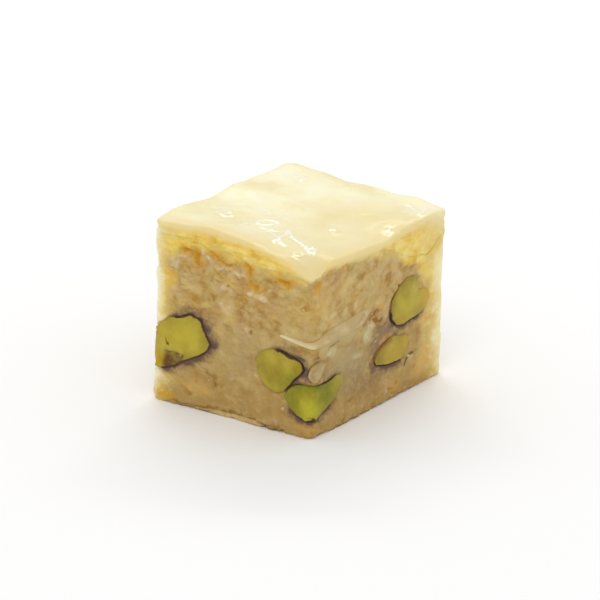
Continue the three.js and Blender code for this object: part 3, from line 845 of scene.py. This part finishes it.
# %% Distances, lumps and chips
def nearest(net, points, reach):
    """The distance from each point to the nearest point of a net, in mm, up to a reach."""
    tree = kdtree.KDTree(len(net))
    for index, place in enumerate(net):
        tree.insert(place, index)
    tree.balance()
    low, high = net.min(0) - reach, net.max(0) + reach
    near = ((points > low) & (points < high)).all(1)
    found = np.full(len(points), float(reach))
    found[near] = [min(reach, tree.find(place)[2]) for place in points[near]]
    return found


def lumps_at(points, wide, high, seed):
    """Splits the sides into lumps: a random number for each point's lump, and how far the next lump is."""
    chooser = np.random.default_rng(seed)
    columns, rows = np.arange(-72, 72, wide) / wide, np.arange(0, 33, high) / high
    grid = np.stack(np.meshgrid(columns, rows), -1).reshape(-1, 2)
    centres = grid + chooser.uniform(-0.48, 0.48, grid.shape)
    tree = kdtree.KDTree(len(centres))
    for index, (across, up) in enumerate(centres):
        tree.insert((across, up, 0), index)
    tree.balance()
    found = [tree.find_n((across, up, 0), 2) for across, up in unrolled(points) / (wide, high)]
    numbers = chooser.random(len(centres))[[own[1] for own, _ in found]]
    return numbers, np.array([next_one[2] - own[2] for own, next_one in found])


def chips(points, deep):
    """The chips of the lower edge: moves up and in, by up to this much in mm."""
    ragged = (torn(points, 1.1, 1.0, seed=7) - points)[:, 0]
    chipped = np.clip(1.8 * ragged, 0, 1) * np.clip(1 - points[:, 2], 0, 1) * (out_by(points) > -0.8)
    return deep * chipped[:, None] * ((0, 0, 1) - 0.6 * outward_of(points))


before = points_of(block)
nut_net = np.concatenate([points_of(nut) for nut in nuts.values()])
TOUCHING = 0.15
near_nut = nearest(nut_net, before, reach=3.0) - TOUCHING
print("points right at a nut:", int((near_nut < 0.1).sum()))

# %% [markdown]
# The relief is laid on in three sizes: broad waves left by the knife, lumps of a millimetre or two, and
# fine grain, then the crags, pits and lumps of the lists. It fades out beside the nuts and is calmer high
# on the +X side. Under the rim of the top the mass is brought level with it, so that no step shows.

# %% Relief of the filling
normals = normals_of(block)
side = np.clip(1.2 - 1.6 * np.abs(normals[:, 2]), 0, 1)
free = side * np.clip((near_nut - 0.1) / 0.5, 0, 1)
free *= np.where(side_of(before) == 0, 1 - 0.5 * np.clip((before[:, 2] - 10) / 6, 0, 1), 1)
group(block, "free", free)
relief(block, 3.6, 0.3, where="free", octaves=1)
relief(block, 0.7, 0.22, where="free", octaves=2)
carved = points_of(block)
uneven = torn(torn(carved, 3.0, 0.7), 0.9, 0.3, seed=5)
ragged = torn(uneven, 0.5, 0.4, seed=6)
around = around_of(before)
crumbly = np.exp(-((around + 17) / 15) ** 2) + 0.6 * np.exp(-((np.abs(around) - 56) / 9) ** 2)
loose = np.clip((before[:, 2] - 14) / 9, 0.3, 1) * np.clip(0.32 + 0.7 * crumbly, 0, 1)
lump, apart = lumps_at(uneven, 2.1, 1.45, seed=2)
grain, grain_apart = lumps_at(uneven, 0.95, 0.7, seed=3)
# The gaps where lumps meet are kept for the paint, which darkens them as painted shade.
gap_shade = np.clip(1 - apart / 0.6, 0, 1) ** 2 * np.clip(2.2 * grain - 0.2, 0, 1)
dome, small_dome = (1 - (1 - np.clip(a / 0.9, 0, 1)) ** 2 for a in (apart, grain_apart))
pushed = loose * (0.36 * dome * (0.4 + lump) - 0.26 + 0.14 * small_dome * (0.3 + grain) - 0.08)
pushed += marks(uneven, LUMPS) - lines(unrolled(uneven), CRAGS) - marks(uneven, PITS)
carved += normals * (free * pushed)[:, None]
below_rim = border_at(before, rims) - before[:, 2]
level = side * np.clip(1 - below_rim / 2.0, 0, 1) * (near_nut > 1)
carved += chips(before, 0.3)
to_rim = border_at(before, feet) + PROUD - out_by(carved)
carved += outward_of(before) * (level * to_rim * 0.85)[:, None]
move_points(block, carved)
height = ((carved - before) * normals).sum(1)
print("relief from %.2f to %.2f mm" % (height.min(), height.max()))

# %% [markdown]
# The mass isn't one colour. It is honey and gold towards the outer upright edges, where the pale painted
# light of the cut sides also lies, grey-beige and minty where smooth, amber where syrup gathers, purple
# round the pistachios from their skins, and brown or ochre in single spots. Each tint is a set of places
# like the crags: its colour, the range over which it comes in, the most of it, and its marks. The empty
# ones are filled from the crags, the lumps and the skins below.

# %% Tints of the filling
TINTS = {
    "low": ((168, 136, 76), 0.0, 1.0, 0.75, [
        (-6.0, 21.0, 7.0, 4.0, 0.22), (16.0, 13.5, 3.5, 3.0, 0.35), (6.0, 6.0, 4.0, 3.0, 0.15),
        (32.0, 24.8, 4.0, 1.0, 0.5)]),
    "honey": ((216, 184, 106), 0.2, 0.9, 0.8, [
        (33.5, 22.5, 3.0, 3.0, 0.5), (34.5, 12.0, 3.0, 6.0, 0.6), (-2.5, 21.5, 5.0, 2.6, 0.5),
        (3.0, 23.5, 3.0, 2.6, 0.4), (32.5, 4.5, 4.0, 2.2, 0.6), (-29.8, 23.0, 1.6, 4.0, 0.8),
        (-24.0, 3.8, 5.0, 1.8, 0.5), *hidden_places(8, 8, (20, 27), 4.0, 2.0, 0.8)]),
    "smooth": ((188, 168, 114), 0.2, 0.7, 0.9, [
        (5.5, 15.4, 4.5, 0.9, 0.8), (11.0, 16.0, 2.6, 1.3, 0.9), (-3.0, 17.6, 2.2, 0.7, 0.5),
        (8.0, 11.5, 6.0, 3.0, 0.6)]),
    "gold": ((226, 182, 62), 0.15, 1.3, 0.9, [
        (-28.4, 22.2, 1.2, 1.5, 1.2), (-29.6, 21.5, 1.8, 4.0, 0.25), (24.5, 26.6, 3.0, 0.4, 0.9),
        (31.9, 23.6, 1.7, 0.4, 0.9), (26.8, 23.2, 1.4, 0.4, 0.9), (35.0, 15.4, 0.8, 2.6, 0.7),
        *hidden_places(6, 12, (3, 28), 1.6, 0.8, 1.0)]),
    "greige": ((170, 152, 108), 0.1, 1.2, 0.8, [
        (-15.5, 11.0, 5.5, 4.0, 0.6), (-12.5, 15.5, 4.0, 2.0, 0.4), (11.5, 10.0, 5.0, 4.5, 1.1)]),
    "mustard": ((200, 154, 24), 0.15, 1.1, 0.9, [
        (-30.6, 1.6, 1.6, 0.9, 1.2), (-28.6, 1.2, 1.2, 0.5, 0.9)]),
    "ochre": ((206, 158, 82), 0.1, 1.2, 0.8, [
        (33.8, 11.5, 1.5, 0.9, 1.2), (33.6, 5.0, 1.8, 2.0, 1.0), (31.0, 2.8, 2.2, 1.0, 1.0),
        (11.6, 22.6, 0.8, 0.5, 0.9), (19.6, 21.3, 1.5, 0.4, 0.9), (6.6, 23.5, 1.8, 1.0, 0.6),
        (-0.8, 1.6, 2.6, 0.8, 1.1), (-22.6, 4.2, 2.6, 1.2, 0.6), (23.4, 2.4, 1.6, 0.9, 1.2),
        (19.6, 17.4, 1.0, 0.5, 0.9), *hidden_places(13, 10, (2, 24), 1.6, 1.0, 0.9)]),
    "ashen": ((124, 98, 74), 0.05, 1.1, 0.75, [
        (18.2, 10.2, 1.8, 2.8, 1.0), (20.6, 13.6, 2.6, 1.6, 1.2), (21.6, 12.6, 1.6, 0.6, 1.0),
        (20.0, 5.8, 4.0, 0.7, 0.6), (16.0, 4.6, 4.0, 2.0, 0.35), (17.6, 12.2, 1.8, 2.0, 0.5),
        (18.0, 20.5, 3.5, 1.8, 0.3), (-1.9, 12.4, 1.3, 1.6, 0.7), (-4.0, 14.9, 2.4, 0.6, 0.8),
        (-20.7, 15.2, 1.2, 1.5, 1.0), (-19.7, 12.4, 0.9, 1.8, 1.0), (11.5, 7.6, 4.5, 3.0, 0.5),
        (4.0, 11.5, 4.0, 1.6, 0.4), (18.8, 24.6, 3.0, 0.8, 0.2), (-3.0, 6.0, 1.4, 1.2, 0.5),
        (-24.4, 8.0, 2.2, 0.7, 0.6), (-24.2, 17.4, 3.0, 0.8, 0.8), (-1.0, 10.6, 0.9, 0.9, 0.8),
        *hidden_places(9, 10, (5, 20), 1.8, 1.4, 0.6)]),
    "mint": ((198, 192, 150), 0.15, 0.9, 0.85, [
        (15.9, 13.8, 1.2, 1.2, 1.0), (17.4, 15.1, 0.7, 0.5, 0.7), (5.3, 13.8, 1.7, 0.8, 0.8),
        (12.7, 11.4, 1.8, 0.6, 0.7), (9.6, 13.4, 1.0, 0.6, 0.4)]),
    "halo": ((98, 74, 62), 0.05, 0.75, 0.9, []),
    "plum": ((88, 68, 66), 0.1, 1.1, 0.9, [
        (-21.2, 14.5, 0.7, 0.9, 1.2), (-19.9, 12.0, 0.5, 1.4, 0.7), (-22.4, 9.0, 1.6, 0.4, 0.6),
        (-2.0, 13.5, 0.9, 0.6, 0.9), (-1.2, 12.6, 0.5, 1.0, 0.8), (1.0, 14.1, 1.0, 0.4, 0.7),
        (4.2, 13.3, 1.2, 0.4, 0.4), (17.0, 7.8, 0.7, 0.8, 0.9), (22.6, 13.4, 0.8, 0.6, 0.6)]),
    "rust": ((140, 90, 56), 0.1, 0.9, 0.85, []),
    "brown": ((142, 98, 38), 0.25, 1.0, 0.85, [
        (-1.8, 22.4, 1.3, 0.7, 0.8), (-17.0, 16.1, 1.0, 0.5, 0.8), (-7.4, 19.3, 1.7, 0.6, 0.9),
        (-12.4, 16.5, 0.4, 0.3, 1.2), (-19.7, 5.9, 0.8, 1.3, 0.8), (-21.6, 7.0, 1.4, 0.3, 0.8),
        (-24.7, 3.0, 0.7, 0.4, 0.9), (-23.5, 4.8, 0.5, 0.5, 0.7), (0.9, 26.9, 0.4, 1.4, 0.9),
        (8.9, 1.3, 0.8, 0.5, 0.9), (10.6, 3.4, 0.7, 0.2, 1.0), (11.3, 22.6, 0.6, 0.3, 0.45),
        (19.4, 21.4, 1.6, 0.3, 0.35), (23.0, 2.0, 1.0, 0.3, 0.8), (24.1, 2.8, 0.6, 0.3, 0.7),
        (17.9, 16.4, 2.2, 1.0, 0.5), (-8.2, 0.9, 1.8, 0.45, 1.0), (24.5, 19.9, 0.5, 0.4, 1.2),
        (6.3, 14.8, 1.5, 0.2, 1.0), *hidden_places(7, 16, (3, 26), 1.0, 0.6, 0.9)]),
    "pale": ((222, 204, 162), 0.15, 1.2, 0.85, []),
    "amber": ((208, 162, 58), 0.2, 1.3, 0.9, [
        (-23.9, 27.3, 1.5, 0.9, 0.8), (-19.6, 28.0, 1.5, 0.7, 0.6), (-13.4, 27.2, 1.1, 1.0, 0.7),
        (-11.2, 24.3, 1.4, 0.8, 0.7), (-13.9, 22.2, 0.9, 0.8, 0.7), (-6.0, 26.5, 1.5, 0.6, 0.8),
        (1.5, 26.4, 0.9, 1.6, 0.7), (6.0, 28.0, 3.0, 0.5, 0.5), (-1.4, 22.4, 1.5, 0.5, 0.6),
        (-7.1, 19.6, 1.6, 0.6, 0.6), (19.6, 17.3, 0.8, 0.5, 0.8), (-10.8, 21.0, 0.8, 0.4, 0.5),
        (33.8, 11.5, 1.3, 0.8, 0.6), (-19.9, 18.4, 0.8, 0.4, 0.5)]),
    "deep": ((194, 124, 4), 0.35, 1.4, 0.95, []),
}
BROWN_LINES = [
    (0.7, 0.8, [(16.2, 17.6), (15.8, 16.7), (15.0, 15.7)]),
    (0.4, 0.9, [(16.6, 17.2), (17.6, 16.9), (18.9, 17.0)]), (0.35, 0.9, [(17.0, 16.3), (17.2, 15.6)]),
    (0.45, 0.9, [(18.2, 15.8), (19.3, 15.2), (20.2, 15.6)]),
    (0.35, 0.8, [
        (-30.0, 0.5), (-25.7, 0.75), (-21.6, 0.95), (-18.5, 1.2), (-13.4, 1.3), (-11.2, 1.3)]),
]
print("tints:", ", ".join(TINTS))

# %% [markdown]
# The marks are laid on points moved about by noise of two or three sizes, so that their outlines are as
# crumbly as the mass. Syrup gathers in the higher crags, amber round them and deep orange inside, and the
# standing lumps are pale. The skins show right at the nuts and stain the mass round them.

# %% Store the tints
stored = {name: marks(uneven, places) for name, (*_, places) in TINTS.items()}
back_side = np.isin(side_of(carved), (1, 2)) * np.clip(2 * grain - 0.6, 0, 1)
halo = np.maximum(skin_lines(uneven, 1.6), 0.8 * back_side)
stored["halo"] = halo * np.exp(-np.maximum(near_nut, 0) / 0.8)
stored["low"] += np.clip((19.0 - carved[:, 2]) / 17.0, 0, 1) * (1 - lit_edge_of(uneven))
for name, wider, stronger in (("amber", 2.4, 3), ("deep", 1.2, 3.2)):
    stored[name] += lines(unrolled(ragged), [(wider * width, min(1, stronger * deep), path)
                                             for width, deep, path in CRAGS if path[0][1] > 20])
stored["brown"] += lines(unrolled(ragged), BROWN_LINES)
stored["pale"] = marks(ragged, [(a, u, 1.2 * w, 1.2 * h, min(1, 3 * high)) for a, u, w, h, high in LUMPS])
stored["rust"] = lines(unrolled(uneven), RUST)
for name, values in stored.items():
    store(block, name, values)
# Painted shade: the lump number is lowered in the gaps between lumps, so the paint is darker there.
store(block, "lump", lump * (1 - gap_shade) - 0.15 * gap_shade * loose)
skins = skin_lines(carved, 0.9) * np.clip((0.2 - near_nut) / 0.2, 0, 1)
store(block, "skin", skins + lines(unrolled(carved), SLIVERS))
store_cut_marks(block, carved)
print("numbers stored for each point:", len(block.data.attributes))

# %% [markdown]
# Crumbs will stick where the mass is free, most of all round the crags and along the foot, and not at the
# nuts, the rim or the pale edges. That is worked out before the net changes. Then the flat faces inside,
# which the pastry hides, are thinned: they need no fine net.

# %% Thin the hidden faces
near_crag = lines(unrolled(carved), [(1.2, 1, path) for _, _, path in CRAGS])
crumb_chance = free * (near_nut > 0.5) * (below_rim > 1.2) * (lit_edge_of(carved) < 0.3)
crumb_chance *= 0.1 + 0.8 * near_crag + 2.5 * (carved[:, 2] < 1.5)
inside = (np.abs(carved[:, 0]) < HALF_WIDTH - 1) & (np.abs(carved[:, 1]) < HALF_LENGTH - 1)
group(block, "hidden", inside * (np.abs(normals[:, 2]) > 0.8) * 1.0)
carved_normals = normals_of(block)
modify(block, "DECIMATE", ratio=0.6, vertex_group="hidden")
print("filling net after thinning:", len(block.data.vertices), "points")

# %% [markdown]
# The paint of the cut sides goes on first, then the tints one over another, each broken up by one rough
# noise so that none has a soft airbrushed edge. Last comes the dark line of the skins. A slight bump
# gives the light the grain that is too fine for the net.

# %% Finish of the filling
pressed_nuts, tree, shader, place = new_material("pressed_nuts", 0.5, 0.15, 0.3, 1.4)
place = node(tree, "Mapping", Vector=place, Scale=(0.75, 0.75, 1)).outputs[0]
paint, mixed = cut_face(tree, place, mark_of(tree, "lump"))
rough = sums(tree, "MULTIPLY_ADD", speckle(tree, place, 1.0, 6, 0.7), 3.8, -0.9)
for name, (over, low, high, most, _) in TINTS.items():
    spotty = sums(tree, "MULTIPLY", mark_of(tree, name), rough)
    paint = wash(tree, paint, spotty, low, high, most, over)
paint = wash(tree, paint, mark_of(tree, "skin"), 0.2, 0.8, 0.9, (80, 58, 44))
tree.links.new(paint, shader.inputs["Base Color"])
bump(tree, shader, mixed, 0.1)
show(block, pressed_nuts, "filling", "filling")

# %% [markdown]
# ## Crumbs
#
# A knife tears small bits of nut and pastry loose, and they stick to the cut. A particle system could
# scatter them, but its instances would have to be made real one by one. So a lump of a few dozen faces is
# modelled once, and each crumb is a copy of its points, turned and squeezed at random, flattened against
# the surface and sunk into it. All crumbs are joined into one mesh.

# %% Scatter the crumbs
CRUMBS = 260
SMALLEST, LARGER_BY, SUNK = 0.14, 0.36, 0.12
chooser = np.random.default_rng(11)
bpy.ops.mesh.primitive_ico_sphere_add(subdivisions=2, radius=1)
ball = bpy.context.object
ball_points = np.array([v.co for v in ball.data.vertices])
ball_faces = np.array([f.vertices for f in ball.data.polygons])
bpy.ops.object.delete()
spots = chooser.choice(len(carved), CRUMBS, replace=False, p=crumb_chance / crumb_chance.sum())
sizes = SMALLEST + LARGER_BY * chooser.random(CRUMBS) ** 2.5
crumb_points = []
for spot, size in zip(spots, sizes):
    turn = np.array(Quaternion(chooser.normal(size=4)).normalized().to_matrix())
    bumps = 1 + 0.22 * chooser.normal(size=(len(ball_points), 1))
    shaped = (ball_points * bumps * (1, chooser.uniform(0.55, 1), chooser.uniform(0.5, 0.9))) @ turn.T
    out = carved_normals[spot]
    shaped *= (1.3, 1.3, 0.75)
    shaped -= 0.7 * (shaped @ out)[:, None] * out
    crumb_points.append(carved[spot] + size * (shaped - SUNK * out))
crumb_faces = (ball_faces[None] + np.arange(CRUMBS)[:, None, None] * len(ball_points)).reshape(-1, 3)
crumb_mesh = bpy.data.meshes.new("crumbs")
crumb_mesh.from_pydata(np.concatenate(crumb_points) * MM, [], crumb_faces.tolist())
crumbs = bpy.data.objects.new("crumbs", crumb_mesh)
bpy.context.collection.objects.link(crumbs)
store(crumbs, "tone", np.repeat(chooser.random(CRUMBS), len(ball_points)))
store(crumbs, "amber", np.repeat(stored["amber"][spots], len(ball_points)))
store(crumbs, "lit_edge", lit_edge_of(points_of(crumbs)))
store(crumbs, "low", np.clip((9.0 - points_of(crumbs)[:, 2]) / 8.0, 0, 1))
print("crumbs from %.2f to %.2f mm" % (2 * sizes.min(), 2 * sizes.max()))

# %% [markdown]
# Each crumb has a tone of its own, as it is a bit of one nut or one sheet. It takes the amber of the
# place where it sticks, and is darker near the foot, as the mass is, and paler at the upright edges, where
# it gets the same painted light as the mass.

# %% Finish of the crumbs
crumb_finish, tree, shader, place = new_material("crumbs", 0.5, 0.15, 0.2, 1.0)
tone = shaken(tree, mark_of(tree, "tone"), speckle(tree, place, 0.5, 3), 0.3)
paint = ramp(tree, tone, (0.05, 182, 140, 70), (0.3, 192, 158, 92), (0.65, 200, 172, 112),
             (0.95, 210, 188, 136))
paint = wash(tree, paint, mark_of(tree, "low"), 0.1, 1, 0.6, (170, 136, 74))
paint = tint(tree, mark_of(tree, "amber"), paint, colour(212, 166, 74))
# Near the upright edges the crumbs are painted pale: painted light, as on the mass.
paint = tint(tree, mark_of(tree, "lit_edge"), paint, colour(240, 228, 172))
tree.links.new(paint, shader.inputs["Base Color"])
show(crumbs, crumb_finish, "filling")

# %% [markdown]
# ## The base
#
# The base is a thin crust of the same sheets, soaked through. Seen from the side, it is a strip along the
# foot, where the mass above it ends at an uneven line. The solid is as high all round, so its side is set
# back above that line, where the mass covers it, and its lower edge is chipped as the knife and the tray
# left it.

# %% Net the base
BASE_TINTS = {
    "pale": ((208, 182, 128), [(-16.0, 0.4, 4.6, 0.8, 1.0), (-10.8, 0.4, 0.8, 0.6, 0.6)]),
    "warm": ((204, 158, 78), [
        (-0.5, 0.6, 4.0, 1.2, 1.0), (31.4, 0.8, 4.0, 1.0, 0.8), (-29.0, 0.8, 2.0, 0.8, 0.8),
        (55.0, 0.5, 6.0, 0.8, 0.8)]),
    "brown": ((136, 100, 54), [
        (-26.0, 0.1, 3.4, 0.35, 0.9), (-8.2, 0.3, 1.7, 0.6, 1.1), (14.0, 0.0, 9.0, 0.25, 0.8),
        (28.0, 0.0, 5.0, 0.25, 0.8)]),
}
base = finely_netted("base_pastry", "pastry_base", SHEET_VOXEL, 2)
points = points_of(base)
inset = np.clip((points[:, 2] - border_at(points, FOOT_LINE)) / 0.2 + 0.2, 0, 1)[:, None]
points[:, :2] *= 1 - 0.6 * inset / (HALF_WIDTH, HALF_LENGTH)
group(base, "side", np.clip(1.2 - 1.6 * np.abs(normals_of(base)[:, 2]), 0, 1))
move_points(base, points + chips(points, 0.4))
relief(base, 1.4, 0.25, where="side", octaves=2)
points = points_of(base)
store(base, "lit_edge", lit_edge_of(torn(points, 2.0, 1.2)))
blurred = torn(points, 1.2, 0.7)
for name, (_, places) in BASE_TINTS.items():
    store(base, name, marks(blurred, places))
print("base net:", len(points), "points")

# %% [markdown]
# The crust is a mottled tan, darker in places along its lowest edge, and golden near the upright edges,
# where it gets the same painted light as the mass. Its pale, warm and brown places are marks, which a
# speckle breaks up as it does with the filling's.

# %% Finish of the base
baked_base, tree, shader, place = new_material("baked_base", 0.45, 0.2, 0.2, 1.0)
paint = wash(tree, colour(170, 136, 72), speckle(tree, place, 2.5, 3), 0.4, 0.65, 1, (192, 160, 98))
paint = wash(tree, paint, speckle(tree, place, 0.7, 3), 0.55, 0.7, 0.5, (150, 110, 58))
for name, (over, _) in BASE_TINTS.items():
    broken = between(tree, speckle(tree, place, 0.9, 4), 0.3, 0.6, 0.3, 1.3)
    paint = tint(tree, sums(tree, "MULTIPLY", mark_of(tree, name), broken), paint, colour(*over))
# Near the upright edges the crust is painted golden: painted light, as on the mass.
paint = wash(tree, paint, mark_of(tree, "lit_edge"), 0, 0.7, 0.9, (222, 188, 106))
tree.links.new(paint, shader.inputs["Base Color"])
show(base, baked_base, "base_pastry", "base_pastry")

# %% [markdown]
# ## Finishes of the nuts
#
# A pistachio is yellow-green inside, darker towards its rim and yellower at its heart, and no two are
# alike. The kernels share one material, and marks give each its own brighter, greener and browner places.

# %% Tints of the kernels
KERNEL_TINTS = {
    "bright": ((193, 175, 54), [
        (-25.6, 12.6, 3.4, 2.2, 0.8), (-30.5, 13.6, 1.6, 1.8, 0.4), (-5.0, 10.5, 2.0, 2.2, 0.2),
        (28.5, 15.8, 2.4, 2.4, 0.6)]),
    "green": ((112, 116, 14), [
        (-4.0, 6.5, 2.4, 3.4, 0.7), (3.6, 6.8, 2.8, 3.4, 0.8), (0.0, 9.8, 4.0, 1.4, 1.2)]),
    "lime": ((186, 180, 44), [(-0.5, 5.4, 1.9, 2.4, 0.9)]),
    "gilt": ((180, 150, 44), [(23.4, 8.6, 4.6, 2.4, 0.9), (25.9, 13.6, 2.0, 0.8, 0.6)]),
    "golden": ((200, 160, 58), [
        (33.6, 15.4, 2.2, 2.4, 0.9), (27.0, 8.8, 1.0, 1.4, 0.3), (31.6, 18.2, 1.0, 1.6, 0.5)]),
    "olive": ((136, 114, 34), [
        (-21.6, 12.4, 1.2, 2.6, 0.5), (-6.5, 11.0, 0.8, 3.0, 0.4), (19.0, 8.8, 1.8, 1.4, 0.8),
        (23.0, 15.6, 1.2, 2.6, 0.4), (28.6, 20.3, 2.4, 1.2, 0.7)]),
    "khaki": ((128, 112, 54), [(-27.2, 8.0, 1.7, 1.0, 1.2)]),
    "yellow": ((186, 148, 4), [
        (-31.0, 7.4, 1.2, 1.4, 1.1), (-31.6, 11.8, 0.8, 0.9, 0.7), (-28.5, 11.5, 0.9, 0.45, 0.5)]),
    "brown": ((104, 68, 26), [
        (-29.0, 7.5, 1.0, 1.5, 1.3), (-26.5, 8.9, 0.7, 0.5, 1.3), (-29.45, 10.9, 0.15, 0.4, 1.6),
        (-29.1, 10.6, 0.3, 0.15, 1.4), (-26.6, 7.5, 1.4, 0.4, 1.0), (-28.2, 9.1, 1.2, 0.25, 0.7)]),
    "rust": ((146, 100, 52), []),
}
kernel, tree, shader, place = new_material("pistachio_kernel", 0.42, 0.15, 0.25, 1.5)
paint = ramp(tree, speckle(tree, place, 4, 3), (0.36, 156, 136, 40), (0.5, 173, 155, 52),
             (0.64, 185, 168, 62))
paint = wash(tree, paint, mark_of(tree, "rim"), 1.6, 0.2, 0.4, (146, 124, 36))
for name, (over, _) in KERNEL_TINTS.items():
    paint = tint(tree, mark_of(tree, name), paint, colour(*over))
fine = speckle(tree, place, 0.5, 4, 0.6)
paint = wash(tree, paint, fine, 0.45, 0.75, 0.14, (206, 190, 86))
paint = wash(tree, paint, mark_of(tree, "skin"), 0.1, 0.8, 0.95, (78, 54, 42))
tree.links.new(paint, shader.inputs["Base Color"])
bump(tree, shader, fine, 0.06)
print("kernel tints:", ", ".join(KERNEL_TINTS))

# %% [markdown]
# "Rim" is how far each point is from the edge of the cut face in mm, so the line of skin is where it is
# small and a path of the skins is near. The line's width changes along it, as a torn skin's does.

# %% Dress the pistachios
def store_rim(nut, points, reach):
    facing = (normals_of(nut) * outward_of(points)).sum(1)
    rim = nearest(points[facing < 0.7], points, reach)
    store(nut, "rim", rim)
    return rim


for name in INSETS:
    if not name.startswith("pistachio"):
        continue
    nut = nuts[name]
    points = points_of(nut)
    rim = store_rim(nut, points, 4.0)
    dark = skin_lines(torn(points, 1.2, 0.5), 0.9)
    if is_hidden(name):
        away = points - points.mean(0)
        dark = np.clip(0.4 + np.cos(np.arctan2(away[:, 2], away[:, 0] + away[:, 1]) - len(name)), 0, 1)
    width = 0.12 + 0.2 * (torn(points, 1.5, 1.0, seed=9) - points)[:, 2]
    dark_line = np.clip(((width + 0.12) * dark - rim) / 0.12 + 0.5, 0, 1)
    store(nut, "skin", dark_line * np.clip(1.6 * dark, 0, 1))
    blurred = torn(points, 1.2, 0.6)
    for tint_name, (_, places) in KERNEL_TINTS.items():
        grazed = tint_name == "rust"
        store(nut, tint_name, lines(unrolled(points), RUST) if grazed else marks(blurred, places))
    show(nut, kernel, "pistachio", name)

# %% [markdown]
# The flake and the chip are slivers of a pale nut, tan and waxy. The flake is lighter along its left end,
# where it stands out and catches the light, and that light is painted on as a highlight. The chip is a
# little darker all over, and darker still towards its rim, where it sinks into the mass: painted shade.

# %% Pale nuts
FLAKE_LIGHT = [(0.75, 0.75, [(-6.2, 17.2), (-2.6, 16.3), (0.2, 15.9)])]
pale_nut, tree, shader, place = new_material("pale_nut", 0.4, 0.25, 0.3, 1.5)
place = node(tree, "Mapping", Vector=place, Scale=(0.75, 0.75, 1)).outputs[0]
paint = ramp(tree, speckle(tree, place, 2.4, 6, 0.6), (0.36, 184, 156, 98), (0.5, 192, 168, 114),
             (0.64, 202, 180, 130))
uneven_rim = sums(tree, "MULTIPLY_ADD", speckle(tree, place, 1.4, 4), -1.6, mark_of(tree, "rim"))
paint = wash(tree, paint, uneven_rim, 0.1, -0.7, 0.5, (190, 160, 102))
# Painted highlight: the flake's left end, where it stands out, is painted lighter.
paint = tint(tree, mark_of(tree, "light"), paint, colour(230, 214, 172))
# Painted shade: the chip is painted darker towards its rim, where it sinks into the mass.
shade = sums(tree, "MULTIPLY", mark_of(tree, "dark"), speckle(tree, place, 1.0, 4))
paint = tint(tree, shade, paint, colour(104, 80, 58))
tree.links.new(paint, shader.inputs["Base Color"])
for name in ("nut_flake", "nut_chip"):
    nut = nuts[name]
    points = points_of(nut)
    rim = store_rim(nut, points, 3.0)
    store(nut, "light", lines(unrolled(points), FLAKE_LIGHT))
    # The chip's darkness grows towards its rim, as painted shade where it meets the mass.
    store(nut, "dark", np.clip(0.8 - rim / 1.2, 0.35, 0.8) * (name == "nut_chip"))
    show(nut, pale_nut, "pale_nut", name)

# %% [markdown]
# ## Finish
#
# The empty that drew the relief's grains out flat is no longer needed, so it is removed.

# %% Finish
bpy.data.objects.remove(flattener)
